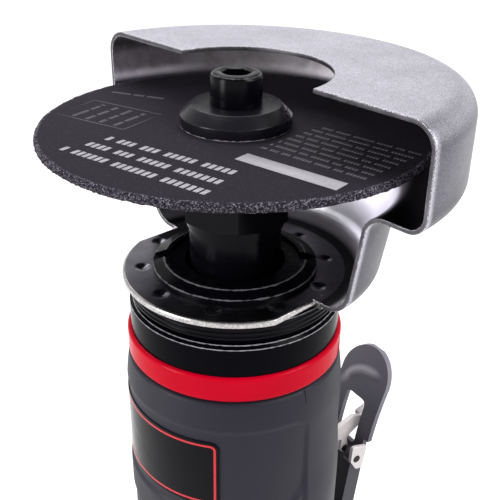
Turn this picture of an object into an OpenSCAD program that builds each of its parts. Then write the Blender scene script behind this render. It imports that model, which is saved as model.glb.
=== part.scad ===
// In-line air cut-off tool for three-inch wheels. All lengths are in millimetres.
// The origin is the mouth of the air inlet, in the middle of the tail face.
// +Z runs up the tool to the wheel, and +X points to the lever.

/* [Wheel] */
// Diameter of the cut-off wheel
wheel_d = 76.2; // [66:0.1:78]
// Thickness of the wheel
wheel_t = 1.6; // [1:0.1:3]
// Diameter of the arbor hole
arbor_d = 9.5; // [9:0.1:10.5]
// Height of the wheel's top face over the guard's ring plate
wheel_stand = 30.4; // [29:0.1:34]

/* [Flange and screw] */
// Diameter of the outer flange
flange_d = 21.6; // [19:0.1:25]
// Thickness of the outer flange
flange_h = 4.2; // [3.2:0.1:6]
// Height of its straight rim, under the bevel
flange_rim_h = 2.2; // [1.2:0.1:2.8]
// Diameter of its flat top
flange_top_d = 17.4; // [13:0.1:18.4]
// Thread diameter of the wheel screw
screw_d = 6; // [5:0.1:6.5]
// Length of the screw under its head
screw_len = 16; // [13:0.5:18]
// Diameter of the screw's head
screw_head_d = 10; // [9:0.1:12]
// Height of the screw's head
screw_head_h = 6; // [4.5:0.1:8]
// Width of the hexagon socket across its flats
socket_af = 5; // [4:0.1:6]
// Depth of the hexagon socket
socket_depth = 3.2; // [2:0.1:4]

/* [Spindle] */
// Diameter of the hub's flange under the wheel
hub_flange_d = 21.6; // [19:0.1:25]
// Thickness of that flange
hub_flange_h = 4; // [3:0.1:5]
// Diameter of the hub's neck and lower end
hub_d = 19; // [16:0.1:19.2]
// Length of the neck between flange and hexagon
hub_neck_h = 3.4; // [2:0.1:5]
// Width of the hub's hexagon across its flats
hub_hex_af = 20.2; // [19.6:0.1:22]
// Height of the hexagon
hub_hex_h = 10; // [6:0.1:11]
// Diameter of the spindle's threaded end
spindle_d = 10; // [8:0.1:11]
// Length of the spindle's threaded end in the hub
spindle_thread_len = 22; // [14:0.5:22.5]

/* [Guard] */
// Thickness of the guard's sheet
guard_t = 0.9; // [0.8:0.1:1.4]
// Thickness of the guard's ring plate
plate_t = 1.5; // [1.4:0.1:2]
// Gap from the wheel's edge to the guard's wall
guard_gap = 5.4; // [4:0.1:8]
// Height of the guard's top over the wheel
guard_above = 10.6; // [9:0.1:14]
// Depth of the guard's lower flange under the wheel's top face
guard_below = 9; // [7.5:0.1:10.5]
// Diameter of the opening in the guard's top
guard_hole_d = 36.4; // [28:0.1:44]
// Distance of the guard's cut edge from the axis
guard_chord = 1.4; // [0:0.1:4]
// Bend radius at the guard's upper corner
guard_bend_r = 4.4; // [2:0.1:6]
// Bend radius at the guard's lower corner
guard_foot_r = 3.3; // [2:0.1:4]
// Bend radius at the top of the guard's neck
neck_bend_r = 4.2; // [2:0.1:5]
// Bend radius at the foot of the neck
neck_foot_r = 5.5; // [3:0.1:6.5]
// Diameter of the neck at the lower flange
neck_top_d = 64.6; // [62:0.1:67]
// Diameter of the neck at the ring plate
neck_foot_d = 57.8; // [54:0.1:60]
// Diameter of the ring plate
ring_plate_d = 47; // [44:0.1:49]
// Turn of the guard round the axis, from the lever's plane
guard_turn = 9.6; // [-60:0.1:60]
// Number of dimples round the ring plate
dimple_count = 10; // [6:1:14]

/* [Clamp] */
// Diameter of the guard's clamp nut
nut_d = 34.4; // [32:0.1:37]
// Height of the clamp nut
nut_h = 1.9; // [1.6:0.1:3]
// Diameter of the nut's flat top
nut_top_d = 29.6; // [28.6:0.1:31]
// Diameter of the boss that the guard turns on
boss_d = 27.2; // [25.5:0.1:27.8]
// Bore of that boss
boss_bore_d = 21; // [19.4:0.1:22]
// Diameter of the grooved seat ring
seat_d = 44; // [42:0.1:46]
// Height of the seat ring
seat_h = 4.7; // [4:0.1:7]

/* [Body] */
// Diameter of the motor housing under the grip
housing_d = 41; // [40:0.1:43]
// Wall of the motor housing
housing_wall = 3; // [2.6:0.1:3.4]
// Length of the valve block behind the motor
block_len = 65; // [63:0.5:75]
// Step of the nose collar over the housing
nose_step = 1.9; // [1.6:0.1:2.5]
// Length of the nose collar
nose_len = 6.9; // [5:0.1:9]
// Wall of the red trim ring
trim_wall = 2.7; // [2:0.1:3.4]
// Length of the trim ring
trim_len = 5.7; // [4:0.1:8]
// Wall of the grip
grip_wall = 4.4; // [3.9:0.1:4.9]
// Depth of the grip's waist behind its collar
grip_waist = 0.8; // [0.4:0.1:1.2]
// Fall of the grip's shoulder towards the trim ring
grip_shoulder = 1; // [0.4:0.1:1.2]
// Length of the grip's raised collar
grip_collar_len = 7; // [6:0.1:9]
// Depth of the back panels under the waist
grip_recess = 0.4; // [0.2:0.1:0.6]
// Height of the band between the two back panels
grip_band_h = 0.5; // [0.2:0.1:0.6]
// Angle from the lever to the edge of the back panel
grip_spine_angle = 83; // [60:1:110]

/* [Lever] */
// Length of the lever from its pin to its free end
lever_len = 83.6; // [78:0.1:90]
// Width of the lever's wide end
lever_w = 16.4; // [16:0.1:20]
// Width of the lever's channel
channel_w = 13.5; // [12.5:0.1:14]
// Thickness of the lever's sheet
lever_t = 1.4; // [1.2:0.1:1.6]
// Lean of the lever away from the body at rest
lever_lean = 7.4; // [7.2:0.1:9]
// Outward flare of the lever's free end
lever_flare = 18; // [4:1:18]
// Diameter of the lever's pin
lever_pin_d = 3; // [2.5:0.1:3.4]
// Height of the lever's pin over the housing's rear face
lever_pin_up = 22; // [20:0.5:25]

/* [Valve] */
// Height of the valve over the lever's pin
valve_up = 22; // [20:0.5:25]
// Diameter of the valve bush
valve_bush_d = 11; // [10:0.1:12]
// Diameter of the valve stem
valve_stem_d = 4; // [3.4:0.1:4.4]

/* [Tail] */
// Length of the exhaust deflector
deflector_len = 18; // [16:0.1:24]
// Step from the grip down to the deflector
deflector_step = 1.4; // [0.9:0.1:2.4]
// Taper of the deflector down to its tail face, on each side
deflector_taper = 3.5; // [2:0.1:4.5]
// Minor diameter of the inlet thread
inlet_thread_d = 11.2; // [10:0.1:12]
// Depth of the inlet thread
inlet_thread_len = 14; // [11:0.5:16]
// Width of the inlet bush across its flats
inlet_af = 17; // [16:0.1:18.5]

/* [Motor] */
// Length of the rotor chamber
cylinder_len = 38; // [30:0.5:45]
// Thinnest wall of the cylinder
liner_wall = 1.95; // [1.65:0.05:2.15]
// Offset of the cylinder's bore from the spindle's axis
cylinder_offset = 1.5; // [1.1:0.1:1.6]
// Least gap between the rotor and the bore
rotor_room = 0.2; // [0.1:0.05:0.6]
// Thickness of a rotor vane
vane_t = 2; // [1.4:0.1:2.4]

/* [Hidden] */
$fn = 96;

// Overrun of every cut
over = 1;
// Radial clearance of shafts, pins and parts that slide together
fit = 0.05;
// Gap between faces that turn or slide past each other
run_gap = 0.3;
// Gap of faces that press together but still turn
rub_gap = 0.04;
// Points along a rounded bend
bend_steps = 8;

// Colours, as the photograph shows them
black_alu = [0.07, 0.07, 0.08];
charcoal = [0.16, 0.16, 0.18];
signal_red = [0.80, 0.05, 0.10];
bright_steel = [0.72, 0.72, 0.74];
dark_steel = [0.30, 0.30, 0.32];
sheet_steel = [0.70, 0.70, 0.74];
abrasive = [0.09, 0.09, 0.10];
zinc = [0.82, 0.79, 0.76];
brass_tone = [0.75, 0.60, 0.30];
rubber_black = [0.05, 0.05, 0.05];
felt_grey = [0.45, 0.45, 0.43];

// Diameters that follow the housing
housing_wall_gap = 0.05;
housing_bore_d = housing_d - housing_wall * 2;
motor_d = housing_bore_d - housing_wall_gap * 2;
nose_d = housing_d + nose_step * 2;
trim_d = housing_d + trim_wall * 2;
grip_d = housing_d + grip_wall * 2;
deflector_d = grip_d - deflector_step * 2;
deflector_tail_d = deflector_d - deflector_taper * 2;
cylinder_bore_d = motor_d - (liner_wall + cylinder_offset) * 2;
rotor_d = cylinder_bore_d - (cylinder_offset + rotor_room) * 2;

// Motor stack: end plates and bearings, whose sizes are shares of the motor
rear_plate_len = 11;
rear_plate_back = 1;
front_plate_web = 7;
front_plate_shoulder = 3;
front_brg_share = 0.8023;
front_bore_share = 0.4286;
front_ball_share = 0.17;
front_brg_d = motor_d * front_brg_share;
front_brg_bore_d = front_brg_d * front_bore_share;
front_ball_d = front_brg_d * front_ball_share;
front_brg_w = 8;
front_ball_count = 8;
rear_brg_share = 0.5444;
rear_bore_share = 0.3158;
rear_ball_share = 0.1842;
rear_brg_d = motor_d * rear_brg_share;
rear_brg_bore_d = rear_brg_d * rear_bore_share;
rear_ball_d = rear_brg_d * rear_ball_share;
rear_brg_w = 6;
rear_ball_count = 7;
// Height of a race's shoulder over its groove floor, as a share of the ball
race_share = 0.28;
cage_w_share = 0.8;
cage_t_share = 0.3;
retainer_thread_len = 6.4;

// Levels from the tail up
z_rear = deflector_len;
z_cavity = z_rear + block_len;
z_cylinder = z_cavity + rear_plate_len;
z_front_plate = z_cylinder + cylinder_len;
z_front_brg = z_front_plate + front_plate_web;
z_stack = z_front_brg + front_brg_w;
z_nose_top = z_stack + retainer_thread_len;
z_nose = z_nose_top - nose_len;
z_trim = z_nose - trim_len;
z_seat_top = z_nose_top + seat_h;
z_plate = z_seat_top + rub_gap;
z_plate_top = z_plate + plate_t;
z_nut = z_plate_top + rub_gap;
z_nut_top = z_nut + nut_h;
z_wheel_top = z_plate_top + wheel_stand;
z_hub_top = z_wheel_top - wheel_t;
z_flange_top = z_wheel_top + flange_h;
z_screw_top = z_flange_top + screw_head_h;
z_rear_brg = z_cavity + rear_plate_back;

// Levels of the hub and the spindle
z_hub_neck = z_hub_top - hub_flange_h;
z_hex_top = z_hub_neck - hub_neck_h;
z_hex = z_hex_top - hub_hex_h;
z_hub = z_stack;
hub_step_h = 1.6;
hub_step_d = 20;
hub_foot_d = 15;
hub_foot_h = 5;
pilot_share = 0.75;
hex_bevel = 1.6;
hex_slope = 4;
z_spindle_top = z_stack + spindle_thread_len;
tap_room = 2;
spindle_room = 0.5;
edge_bevel = 0.5;

// Housing
nose_bevel = 0.7;
inlet_bore_d = 9;
lug_gap = 0.25;
lug_d = 7.2;
exhaust_bore_d = 2.4;
exhaust_inset = 1.65;
exhaust_circle_d = motor_d - exhaust_inset * 2;
exhaust_angles = [72, 90, 108];
feed_bore_d = 3.4;

// Grip
grip_gap = 0.3;
grip_bore_gap = 0.1;
grip_edge = 1;
grip_belly_back = 32;
grip_waist_back = 17;
grip_shoulder_back = 8;
grip_bend_r = 60;
grip_shoulder_r = 30;
label_panel_len = 22;
grip_band_len = 8;
grip_band_slope = 1.5;
window_gap = 1.3;
grip_tail_gap = 0.6;
grip_panel_foot = 22;

// Lever: its own axes are v outwards from the pin and u along the strap
pin_out = 3;
pin_x = housing_d / 2 + pin_out;
z_pin = z_rear + lever_pin_up;
lever_mid = 5.45;
lever_in = lever_mid - lever_t / 2;
lever_tail = 5;
flare_len = 15;
flare_bend_r = 88;
channel_t = 1.6;
channel_back = 26;
channel_u = lever_len - channel_back;
channel_mouth_u = 16;
channel_depth = 3;
eye_d = 6.6;
step_back = 23;
step_u = lever_len - step_back;
step_r = 1.5;
slot_backs = [26.6, 13.6];
slot_u = [for (back = slot_backs) lever_len - back];
slot_w = 7.2;
slot_r = 1.5;

// Latch: its axes start at its own pin, in the lever's axes
latch_v = 2.4;
latch_back = 27.6;
latch_u = lever_len - latch_back;
latch_pin_d = 2;
latch_eye_d = 4;
latch_gap = 0.25;
latch_t = 1;
latch_web_v = 4.75;
latch_web_u = [2.3, 9];
latch_tab = [8.2, 10.4];
latch_tab_w = 6;
latch_bend_r = 2;
foot_w = 6;
foot_h = 3.6;
foot_root_u = 7.6;
foot_tip = [-5.6, 5];
ear_d = 4.4;
ear_w = 5.25;
ear_h = 4.2;
ear_shares = [[-0.33, 0.43], [0.09, 0.9], [1, 0.9], [1, -0.25], [0.55, -1], [0.3, -1], [-0.33, -0.36]];
latch_spring_d = 2.8;
latch_spring_wire_d = 0.5;
latch_spring_turns = 3;
latch_spring_pitch = 1.1;
latch_spring_leg = 4.2;
latch_spring_steps = 12;
pin_head = 0.2;

// Valve, along X through the block
z_valve = z_pin + valve_up;
valve_seat_x = 3;
valve_chamber_x = -6;
valve_pocket_x = -11.6;
valve_pocket_d = 7.6;
bush_sink = 0.3;
bush_out_x = housing_d / 2 - bush_sink;
bush_chamber_d = 7.2;
bush_chamber_back = 6.7;
bush_chamber_x = bush_out_x - bush_chamber_back;
feed_back = 8;
feed_x = bush_out_x - feed_back;
bush_port_d = 2.4;
bush_groove_d = 9.8;
bush_groove_w = 3.2;
bush_slot_w = 1.4;
bush_slot_h = 1.2;
stem_seal_back = 4.3;
stem_seal_x = bush_out_x - stem_seal_back;
stem_seal_wire_d = 1.4;
seal_squash = 0.03;
valve_head_d = 9.2;
valve_head_w = 2.4;
valve_seal_w = 1.5;
valve_nose_d = 3;
valve_nose_len = 3;
stem_tip_bevel = 0.6;
stem_gap = 0.05;
spring_wire_d = 0.6;
spring_d = 5.8;
spring_turns = 5;

// Regulator, along -X through the inlet passage
regulator_up = 6;
z_regulator = z_pin + regulator_up;
regulator_d = 10;
regulator_in_x = 6;
regulator_port_d = 7.2;
regulator_head_d = 11.6;
regulator_out = 1.1;
regulator_head_x = -grip_d / 2 - regulator_out;
regulator_slot_w = 1.4;
regulator_slot_h = 1.4;
regulator_groove_in = 3.1;
regulator_groove_x = regulator_groove_in - housing_d / 2;
regulator_groove_w = 2.3;
regulator_groove_d = 7;
regulator_pin_d = 2;
regulator_pin_len = 18;
regulator_seal_in = 6.9;
regulator_seal_x = regulator_seal_in - housing_d / 2;
regulator_seal_wire_d = 1.4;
regulator_hole_gap = 0.5;
flute_count = 18;
flute_d = 1;

// Tail
bush_hex_h = 10;
eye_share = 0.625;
deflector_eye_d = deflector_tail_d * eye_share;
eye_gap = 0.7;
bush_flange_d = deflector_eye_d - eye_gap * 2;
bush_flange_h = 2.5;
bush_body_d = 16;
bush_len = 33;
bush_through_d = 8;
screen_t = 0.9;
screen_hole_d = 1.6;
screen_rings = [[1, 0], [6, 2.6], [12, 5.2]];
deflector_wall = 2;
deflector_floor = 3;
deflector_round = 3;
vent_count = 9;
vent_pitch = 18;
vent_w = 2.6;
vent_h = 6;
vent_centre = 180;
felt_gap = 0.3;
felt_h = 7.5;

// Motor details
rotor_gap = 0.15;
vane_share = 0.228;
vane_depth = rotor_d * vane_share;
vane_rise = 0.1;
vane_count = 4;
vane_first = 45;
port_w = 9;
port_h = 2.4;
port_rows = 4;
port_pitch = 6;
flat_depth = 1.9;
channel_land = 1.1;
channel_rim = 3.25;
plate_channel = [rear_brg_d + channel_land * 2, motor_d - channel_rim * 2];
plate_channel_h = 2;
plate_port_d = 3.2;
plate_port_inset = 1;
plate_port_circle_d = plate_channel[1] - plate_port_inset * 2;
plate_port_angle = 210;
dowel_d = 2;
dowel_len = 10;
dowel_inset = 1.75;
dowel_circle_d = motor_d - dowel_inset * 2;
dowel_angle = 270;
dowel_seat = 5;
shaft_room = 0.4;
race_room = 3.4;

// Guard and clamp details
guard_wall_lean = 0.1;
relief_len = 11;
relief_d = 43.2;
dimple_circle_d = 38.6;
dimple_r = 3.2;
dimple_depth = 0.55;
dimple_first = 0;
nut_rim_h = 0.9;
nut_slot_w = 3.3;
nut_slot_depth = 1.1;
nut_slot_len = 2.2;
nut_slot_turn = 146;
boss_short = 0.6;
seat_neck_d = 41.6;
seat_neck_h = 1.4;
seat_groove = 0.5;
seat_groove_pitch = 1;
seat_groove_count = 3;
trim_round = 0.8;
spanner_hole_d = 2;
spanner_circle_d = (motor_d + boss_d) / 2;

// Least gap between two curls of the valve spring
spring_len = valve_head_x0() - valve_pocket_x;
echo(valve_spring_gap = spring_len / spring_turns - spring_wire_d);

// Place of the valve's pieces along X
function valve_head_x1() = valve_seat_x - stem_gap - valve_seal_w;
function valve_head_x0() = valve_head_x1() - valve_head_w;

// The lever's inner face, along X at the valve's height
function lever_face_x() = pin_x + lever_in / cos(lever_lean) + valve_up * tan(lever_lean);

// Vectors and rounded paths
function unit(v) = v / norm(v);
function flip(list) = [for (i = [len(list) - 1 : -1 : 0]) list[i]];

// Points of an arc that rounds the corner b between a and c
function fillet(a, b, c, r) =
    let (u = unit(a - b), v = unit(c - b), half = acos(u * v) / 2,
         from = b + u * r / tan(half), to = b + v * r / tan(half),
         mid = b + unit(u + v) * r / sin(half),
         start = atan2(from[1] - mid[1], from[0] - mid[0]),
         end = atan2(to[1] - mid[1], to[0] - mid[0]),
         sweep = (end - start + 540) % 360 - 180)
    [for (i = [0 : bend_steps])
        let (angle = start + sweep * i / bend_steps)
        mid + r * [cos(angle), sin(angle)]];

// A path with each inner corner rounded to its own radius
function rounded(path, radii) = [
    path[0],
    for (i = [1 : len(path) - 2]) each fillet(path[i - 1], path[i], path[i + 1], radii[i - 1]),
    path[len(path) - 1],
];

// Direction of travel at a path's point, and the path moved sideways
function heading(path, i) =
    let (last = len(path) - 1, ahead = path[min(i + 1, last)] - path[i], behind = path[i] - path[max(i - 1, 0)])
    i == 0 ? unit(ahead) : i == last ? unit(behind) : unit(unit(ahead) + unit(behind));
function beside(path, d) = [
    for (i = [0 : len(path) - 1]) let (h = heading(path, i)) path[i] + d * [-h[1], h[0]],
];

// Closed outline of a bent sheet along its middle line
function sheet(path, t) = concat(beside(path, t / 2), flip(beside(path, -t / 2)));

// A round wire swept along points that wind about an axis
module wire(points, d, axis, sides = 8) {
    last = len(points) - 1;
    rings = [
        for (i = [0 : last])
            let (t = unit(points[min(i + 1, last)] - points[max(i - 1, 0)]),
                 n = unit(cross(t, axis)), b = cross(n, t))
            for (k = [0 : sides - 1])
                points[i] + d / 2 * (n * cos(360 * k / sides) + b * sin(360 * k / sides)),
    ];
    skin = [
        for (i = [0 : last - 1], k = [0 : sides - 1])
            let (a = i * sides + k, b = i * sides + (k + 1) % sides)
            [a, b, b + sides, a + sides],
    ];
    polyhedron(rings, concat(skin, [
        [for (k = [sides - 1 : -1 : 0]) k],
        [for (k = [0 : sides - 1]) last * sides + k],
    ]));
}

// A cylinder and a ring between two levels
module rod(d, low, high) {
    translate([0, 0, low])
        cylinder(d = d, h = high - low);
}
module ring(d, bore, low, high) {
    difference() {
        rod(d, low, high);
        rod(bore, low - over, high + over);
    }
}
module taper(d_low, d_high, low, high) {
    translate([0, 0, low])
        cylinder(d1 = d_low, d2 = d_high, h = high - low);
}

// A hexagon bar by its width across flats
module hexagon(af, low, high) {
    translate([0, 0, low])
        cylinder(d = af / cos(30), h = high - low, $fn = 6);
}

// Turns what is built along Z so that it runs along X at a level
module along_x(level) {
    translate([0, 0, level])
        rotate([0, 90, 0])
            children();
}

// Turns what is built along Z so that it runs along Y at a place
module along_y(x, level) {
    translate([x, 0, level])
        rotate([-90, 0, 0])
            children();
}

// Stands an outline in the lever's axes up in the lever's plane, with a width across it
module lever_slab(w, side = 0) {
    translate([pin_x, side, z_pin])
        rotate([90, 0, 0])
            linear_extrude(w, center = true)
                rotate(-lever_lean)
                    children();
}

// A round wire ring
module o_ring(mid_d, wire_d, level) {
    translate([0, 0, level])
        rotate_extrude()
            translate([mid_d / 2, 0])
                circle(d = wire_d);
}

// Bearing pieces, by outer size, bore, ball and level
function ball_circle(d, bore) = (d + bore) / 2;
module race_groove(d, bore, w, ball, low) {
    translate([0, 0, low + w / 2])
        rotate_extrude()
            translate([ball_circle(d, bore) / 2, 0])
                circle(d = ball + fit * 2);
}
module inner_race(d, bore, w, ball, low) {
    difference() {
        ring(ball_circle(d, bore) - ball + ball * race_share * 2, bore, low, low + w);
        race_groove(d, bore, w, ball, low);
    }
}
module outer_race(d, bore, w, ball, low) {
    difference() {
        ring(d, ball_circle(d, bore) + ball - ball * race_share * 2, low, low + w);
        race_groove(d, bore, w, ball, low);
    }
}
module ball_set(d, bore, w, ball, count, low) {
    for (i = [0 : count - 1])
        rotate(360 * i / count)
            translate([ball_circle(d, bore) / 2, 0, low + w / 2])
                sphere(d = ball);
}
module ball_cage(d, bore, w, ball, count, low) {
    mid = ball_circle(d, bore);
    span = w * cage_w_share;
    difference() {
        ring(mid + ball * cage_t_share, mid - ball * cage_t_share, low + (w - span) / 2, low + (w + span) / 2);
        for (i = [0 : count - 1])
            rotate(360 * i / count)
                translate([mid / 2, 0, low + w / 2])
                    sphere(d = ball + fit * 2);
    }
}

// One-piece barrel: motor bore in front, valve block with its passages behind
module motor_housing() {
    color(black_alu)
        difference() {
            union() {
                rod(housing_d, z_rear, z_nose_top);
                rod(nose_d, z_nose, z_nose_top - nose_bevel);
                taper(nose_d, nose_d - nose_bevel * 2, z_nose_top - nose_bevel, z_nose_top);
                lever_lug();
            }
            rod(housing_bore_d, z_cavity, z_nose_top + over);
            rod(bush_body_d + fit * 2, z_rear - over, bush_len + screen_t);
            rod(inlet_bore_d, z_rear, z_valve);
            valve_bores();
            translate([feed_x, 0, 0])
                rod(feed_bore_d, z_valve, z_cavity + over);
            for (angle = exhaust_angles)
                rotate(angle)
                    translate([exhaust_circle_d / 2, 0, 0])
                        rod(exhaust_bore_d, z_rear - over, z_cavity + over);
            regulator_bores();
            along_y(pin_x, z_pin)
                cylinder(d = lever_pin_d, h = channel_w, center = true);
        }
}
module lever_lug() {
    w = channel_w - (channel_t + lug_gap) * 2;
    translate([0, -w / 2, z_pin - lug_d / 2])
        cube([pin_x, w, lug_d]);
    along_y(pin_x, z_pin)
        cylinder(d = lug_d, h = w, center = true);
}
module valve_bores() {
    along_x(z_valve) {
        rod(valve_bush_d + fit * 2, valve_chamber_x, housing_d);
        rod(valve_pocket_d, valve_pocket_x, 0);
    }
}
module regulator_bores() {
    along_x(z_regulator)
        rod(regulator_d + fit * 2, -housing_d, regulator_in_x);
    translate([regulator_groove_x, 0, regulator_pin_z()])
        rotate([90, 0, 0])
            cylinder(d = regulator_pin_d, h = housing_d, center = true);
}
function regulator_pin_z() = z_regulator + (regulator_groove_d + regulator_pin_d) / 2 + fit;

// Moulded sleeve: belly, waist and shoulder, with two recessed panels round its back
module grip_sleeve() {
    bottom = z_rear + grip_tail_gap;
    top = z_trim - grip_gap;
    r = grip_d / 2;
    waist_r = r - grip_waist;
    bore_r = (housing_d + grip_bore_gap) / 2;
    side = [
        [bore_r, bottom],
        [r, bottom],
        [r, top - grip_belly_back],
        [waist_r, top - grip_waist_back],
        [waist_r, top - grip_shoulder_back],
        [waist_r - grip_shoulder, top],
        [bore_r, top],
    ];
    side_radii = [grip_edge, grip_bend_r, grip_bend_r, grip_shoulder_r, grip_edge];
    color(charcoal)
        difference() {
            rotate_extrude()
                polygon(rounded(side, side_radii));
            back_panels(bottom + grip_panel_foot, top - grip_collar_len, waist_r - grip_recess);
            lever_window();
            along_x(z_regulator)
                rod(regulator_head_d + regulator_hole_gap * 2, -grip_d, -pin_x / 2);
        }
}
module back_panels(low, high, r) {
    band_top = high - label_panel_len;
    band_low = band_top - grip_band_len;
    rotate(grip_spine_angle)
        rotate_extrude(angle = 360 - grip_spine_angle * 2)
            polygon([
                [r, low], [r, band_low],
                [r + grip_band_h, band_low + grip_band_slope],
                [r + grip_band_h, band_top - grip_band_slope],
                [r, band_top], [r, high],
                [grip_d / 2 + over, high], [grip_d / 2 + over, low],
            ]);
}
module lever_window() {
    w = channel_w + window_gap;
    low = z_pin - lug_d;
    translate([pin_x / 2, -w / 2, low])
        cube([grip_d, w, z_valve + lug_d - low]);
}

// Red ring with rounded edges between nose and grip
module trim_ring() {
    r = trim_d / 2;
    bore_r = (housing_d + grip_bore_gap) / 2;
    color(signal_red)
        rotate_extrude()
            polygon(rounded([[bore_r, z_trim], [r, z_trim], [r, z_nose], [bore_r, z_nose]],
                [trim_round, trim_round]));
}

// Threaded ring that holds the motor in, with the boss for guard and nut
module front_retainer() {
    color(dark_steel)
        difference() {
            union() {
                rod(motor_d, z_stack, z_nose_top);
                rod(boss_d, z_nose_top, z_nut_top - boss_short);
            }
            rod(boss_bore_d, z_stack - over, z_nut_top);
            for (angle = [0 : 90 : 270])
                rotate(angle)
                    translate([spanner_circle_d / 2, 0, 0])
                        rod(spanner_hole_d, z_nose_top - retainer_thread_len / 2, z_nose_top + over);
        }
}

// Bevelled ring nut with four spanner slots
module guard_clamp_nut() {
    color(dark_steel)
        difference() {
            union() {
                rod(nut_d, z_nut, z_nut + nut_rim_h);
                taper(nut_d, nut_top_d, z_nut + nut_rim_h, z_nut_top);
            }
            rod(boss_d + fit * 2, z_nut - over, z_nut_top + over);
            for (angle = [0, 180])
                rotate(nut_slot_turn + angle)
                    translate([nut_top_d / 2 - nut_slot_len, -nut_slot_w / 2, z_nut_top - nut_slot_depth])
                        cube([nut_d, nut_slot_w, nut_slot_depth + over]);
        }
}

// Grooved ring that the guard's plate rests on
module guard_seat_ring() {
    z_band = z_nose_top + seat_neck_h;
    first = (z_band + z_seat_top - seat_groove_pitch * (seat_groove_count - 1)) / 2;
    color(black_alu)
        difference() {
            union() {
                rod(seat_neck_d, z_nose_top, z_band);
                rod(seat_d, z_band, z_seat_top);
            }
            rod(boss_d + fit * 2, z_nose_top - over, z_seat_top + over);
            for (i = [0 : seat_groove_count - 1])
                rotate_extrude()
                    translate([seat_d / 2, first + i * seat_groove_pitch])
                        circle(d = seat_groove, $fn = 16);
        }
}

// Steel liner with an offset bore, exhaust ports and a flat that leads the air back
module cylinder_liner() {
    color(bright_steel)
        difference() {
            rod(motor_d, z_cylinder, z_front_plate);
            translate([cylinder_offset, 0, 0])
                rod(cylinder_bore_d, z_cylinder - over, z_front_plate + over);
            translate([-port_w, motor_d / 2 - flat_depth, z_cylinder - over])
                cube([port_w * 2, motor_d, port_pitch * (port_rows + 1) + over]);
            for (i = [1 : port_rows])
                translate([cylinder_offset - port_w / 2, 0, z_cylinder + i * port_pitch - port_h / 2])
                    cube([port_w, motor_d, port_h]);
            dowel_hole();
        }
}
module dowel_hole() {
    rotate(dowel_angle)
        translate([dowel_circle_d / 2, 0, 0])
            rod(dowel_d, z_cylinder - dowel_seat, z_cylinder - dowel_seat + dowel_len);
}

// Front end plate with the pocket of the front bearing
module front_end_plate() {
    color(bright_steel)
        difference() {
            rod(motor_d, z_front_plate, z_stack);
            rod(front_brg_bore_d + shaft_room * 2, z_front_plate - over, z_stack);
            rod(front_brg_d - race_room * 2, z_front_plate + front_plate_shoulder, z_stack);
            rod(front_brg_d + fit * 2, z_front_brg, z_stack + over);
        }
}

// Rear end plate with the rear bearing's pocket, the air channel and its port
module rear_end_plate() {
    z_floor = z_rear_brg + rear_brg_w;
    color(bright_steel)
        difference() {
            rod(motor_d, z_cavity, z_cylinder);
            rod(rear_brg_bore_d + shaft_room * 2, z_cavity - over, z_cylinder + over);
            rod(rear_brg_d - race_room, z_cavity - over, z_floor + rear_plate_back);
            rod(rear_brg_d + fit * 2, z_cavity - over, z_floor);
            ring(plate_channel[1], plate_channel[0], z_cavity - over, z_cavity + plate_channel_h);
            rotate(plate_port_angle)
                translate([plate_port_circle_d / 2, 0, 0])
                    rod(plate_port_d, z_cavity - over, z_cylinder + over);
            for (angle = exhaust_angles)
                rotate(angle)
                    translate([exhaust_circle_d / 2, 0, 0])
                        rod(exhaust_bore_d, z_cavity - over, z_cylinder + over);
            dowel_hole();
        }
}
module cylinder_dowel() {
    color(bright_steel)
        dowel_hole();
}

// Deep groove bearings of the spindle
module front_bearing_outer() {
    color(bright_steel)
        outer_race(front_brg_d, front_brg_bore_d, front_brg_w, front_ball_d, z_front_brg);
}
module front_bearing_inner() {
    color(bright_steel)
        inner_race(front_brg_d, front_brg_bore_d, front_brg_w, front_ball_d, z_front_brg);
}
module front_bearing_balls() {
    color(bright_steel)
        ball_set(front_brg_d, front_brg_bore_d, front_brg_w, front_ball_d, front_ball_count, z_front_brg);
}
module front_bearing_cage() {
    color(brass_tone)
        ball_cage(front_brg_d, front_brg_bore_d, front_brg_w, front_ball_d, front_ball_count, z_front_brg);
}
module rear_bearing_outer() {
    color(bright_steel)
        outer_race(rear_brg_d, rear_brg_bore_d, rear_brg_w, rear_ball_d, z_rear_brg);
}
module rear_bearing_inner() {
    color(bright_steel)
        inner_race(rear_brg_d, rear_brg_bore_d, rear_brg_w, rear_ball_d, z_rear_brg);
}
module rear_bearing_balls() {
    color(bright_steel)
        ball_set(rear_brg_d, rear_brg_bore_d, rear_brg_w, rear_ball_d, rear_ball_count, z_rear_brg);
}
module rear_bearing_cage() {
    color(brass_tone)
        ball_cage(rear_brg_d, rear_brg_bore_d, rear_brg_w, rear_ball_d, rear_ball_count, z_rear_brg);
}

// Rotor with its two journals, the threaded end and four vane slots
module rotor() {
    low = z_cylinder + rotor_gap;
    high = z_front_plate - rotor_gap;
    color(bright_steel)
        difference() {
            union() {
                rod(rotor_d, low, high);
                rod(front_brg_bore_d - fit * 2, high, z_stack);
                rod(spindle_d, z_stack, z_spindle_top);
                rod(rear_brg_bore_d - fit * 2, z_rear_brg, low);
            }
            for (i = [0 : vane_count - 1])
                rotate(vane_first + 360 * i / vane_count)
                    translate([rotor_d / 2 - vane_depth, -vane_t / 2 - fit, low - over])
                        cube([vane_depth + over, vane_t + fit * 2, high - low + over * 2]);
        }
}

// A vane pushed back into its slot
module vane(i) {
    low = z_cylinder + rotor_gap;
    color(charcoal)
        rotate(vane_first + 360 * i / vane_count)
            translate([rotor_d / 2 - vane_depth + fit, -vane_t / 2, low])
                cube([vane_depth - fit - vane_rise, vane_t, z_front_plate - rotor_gap - low]);
}
module rotor_vane_1() {
    vane(0);
}
module rotor_vane_2() {
    vane(1);
}
module rotor_vane_3() {
    vane(2);
}
module rotor_vane_4() {
    vane(3);
}

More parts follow.
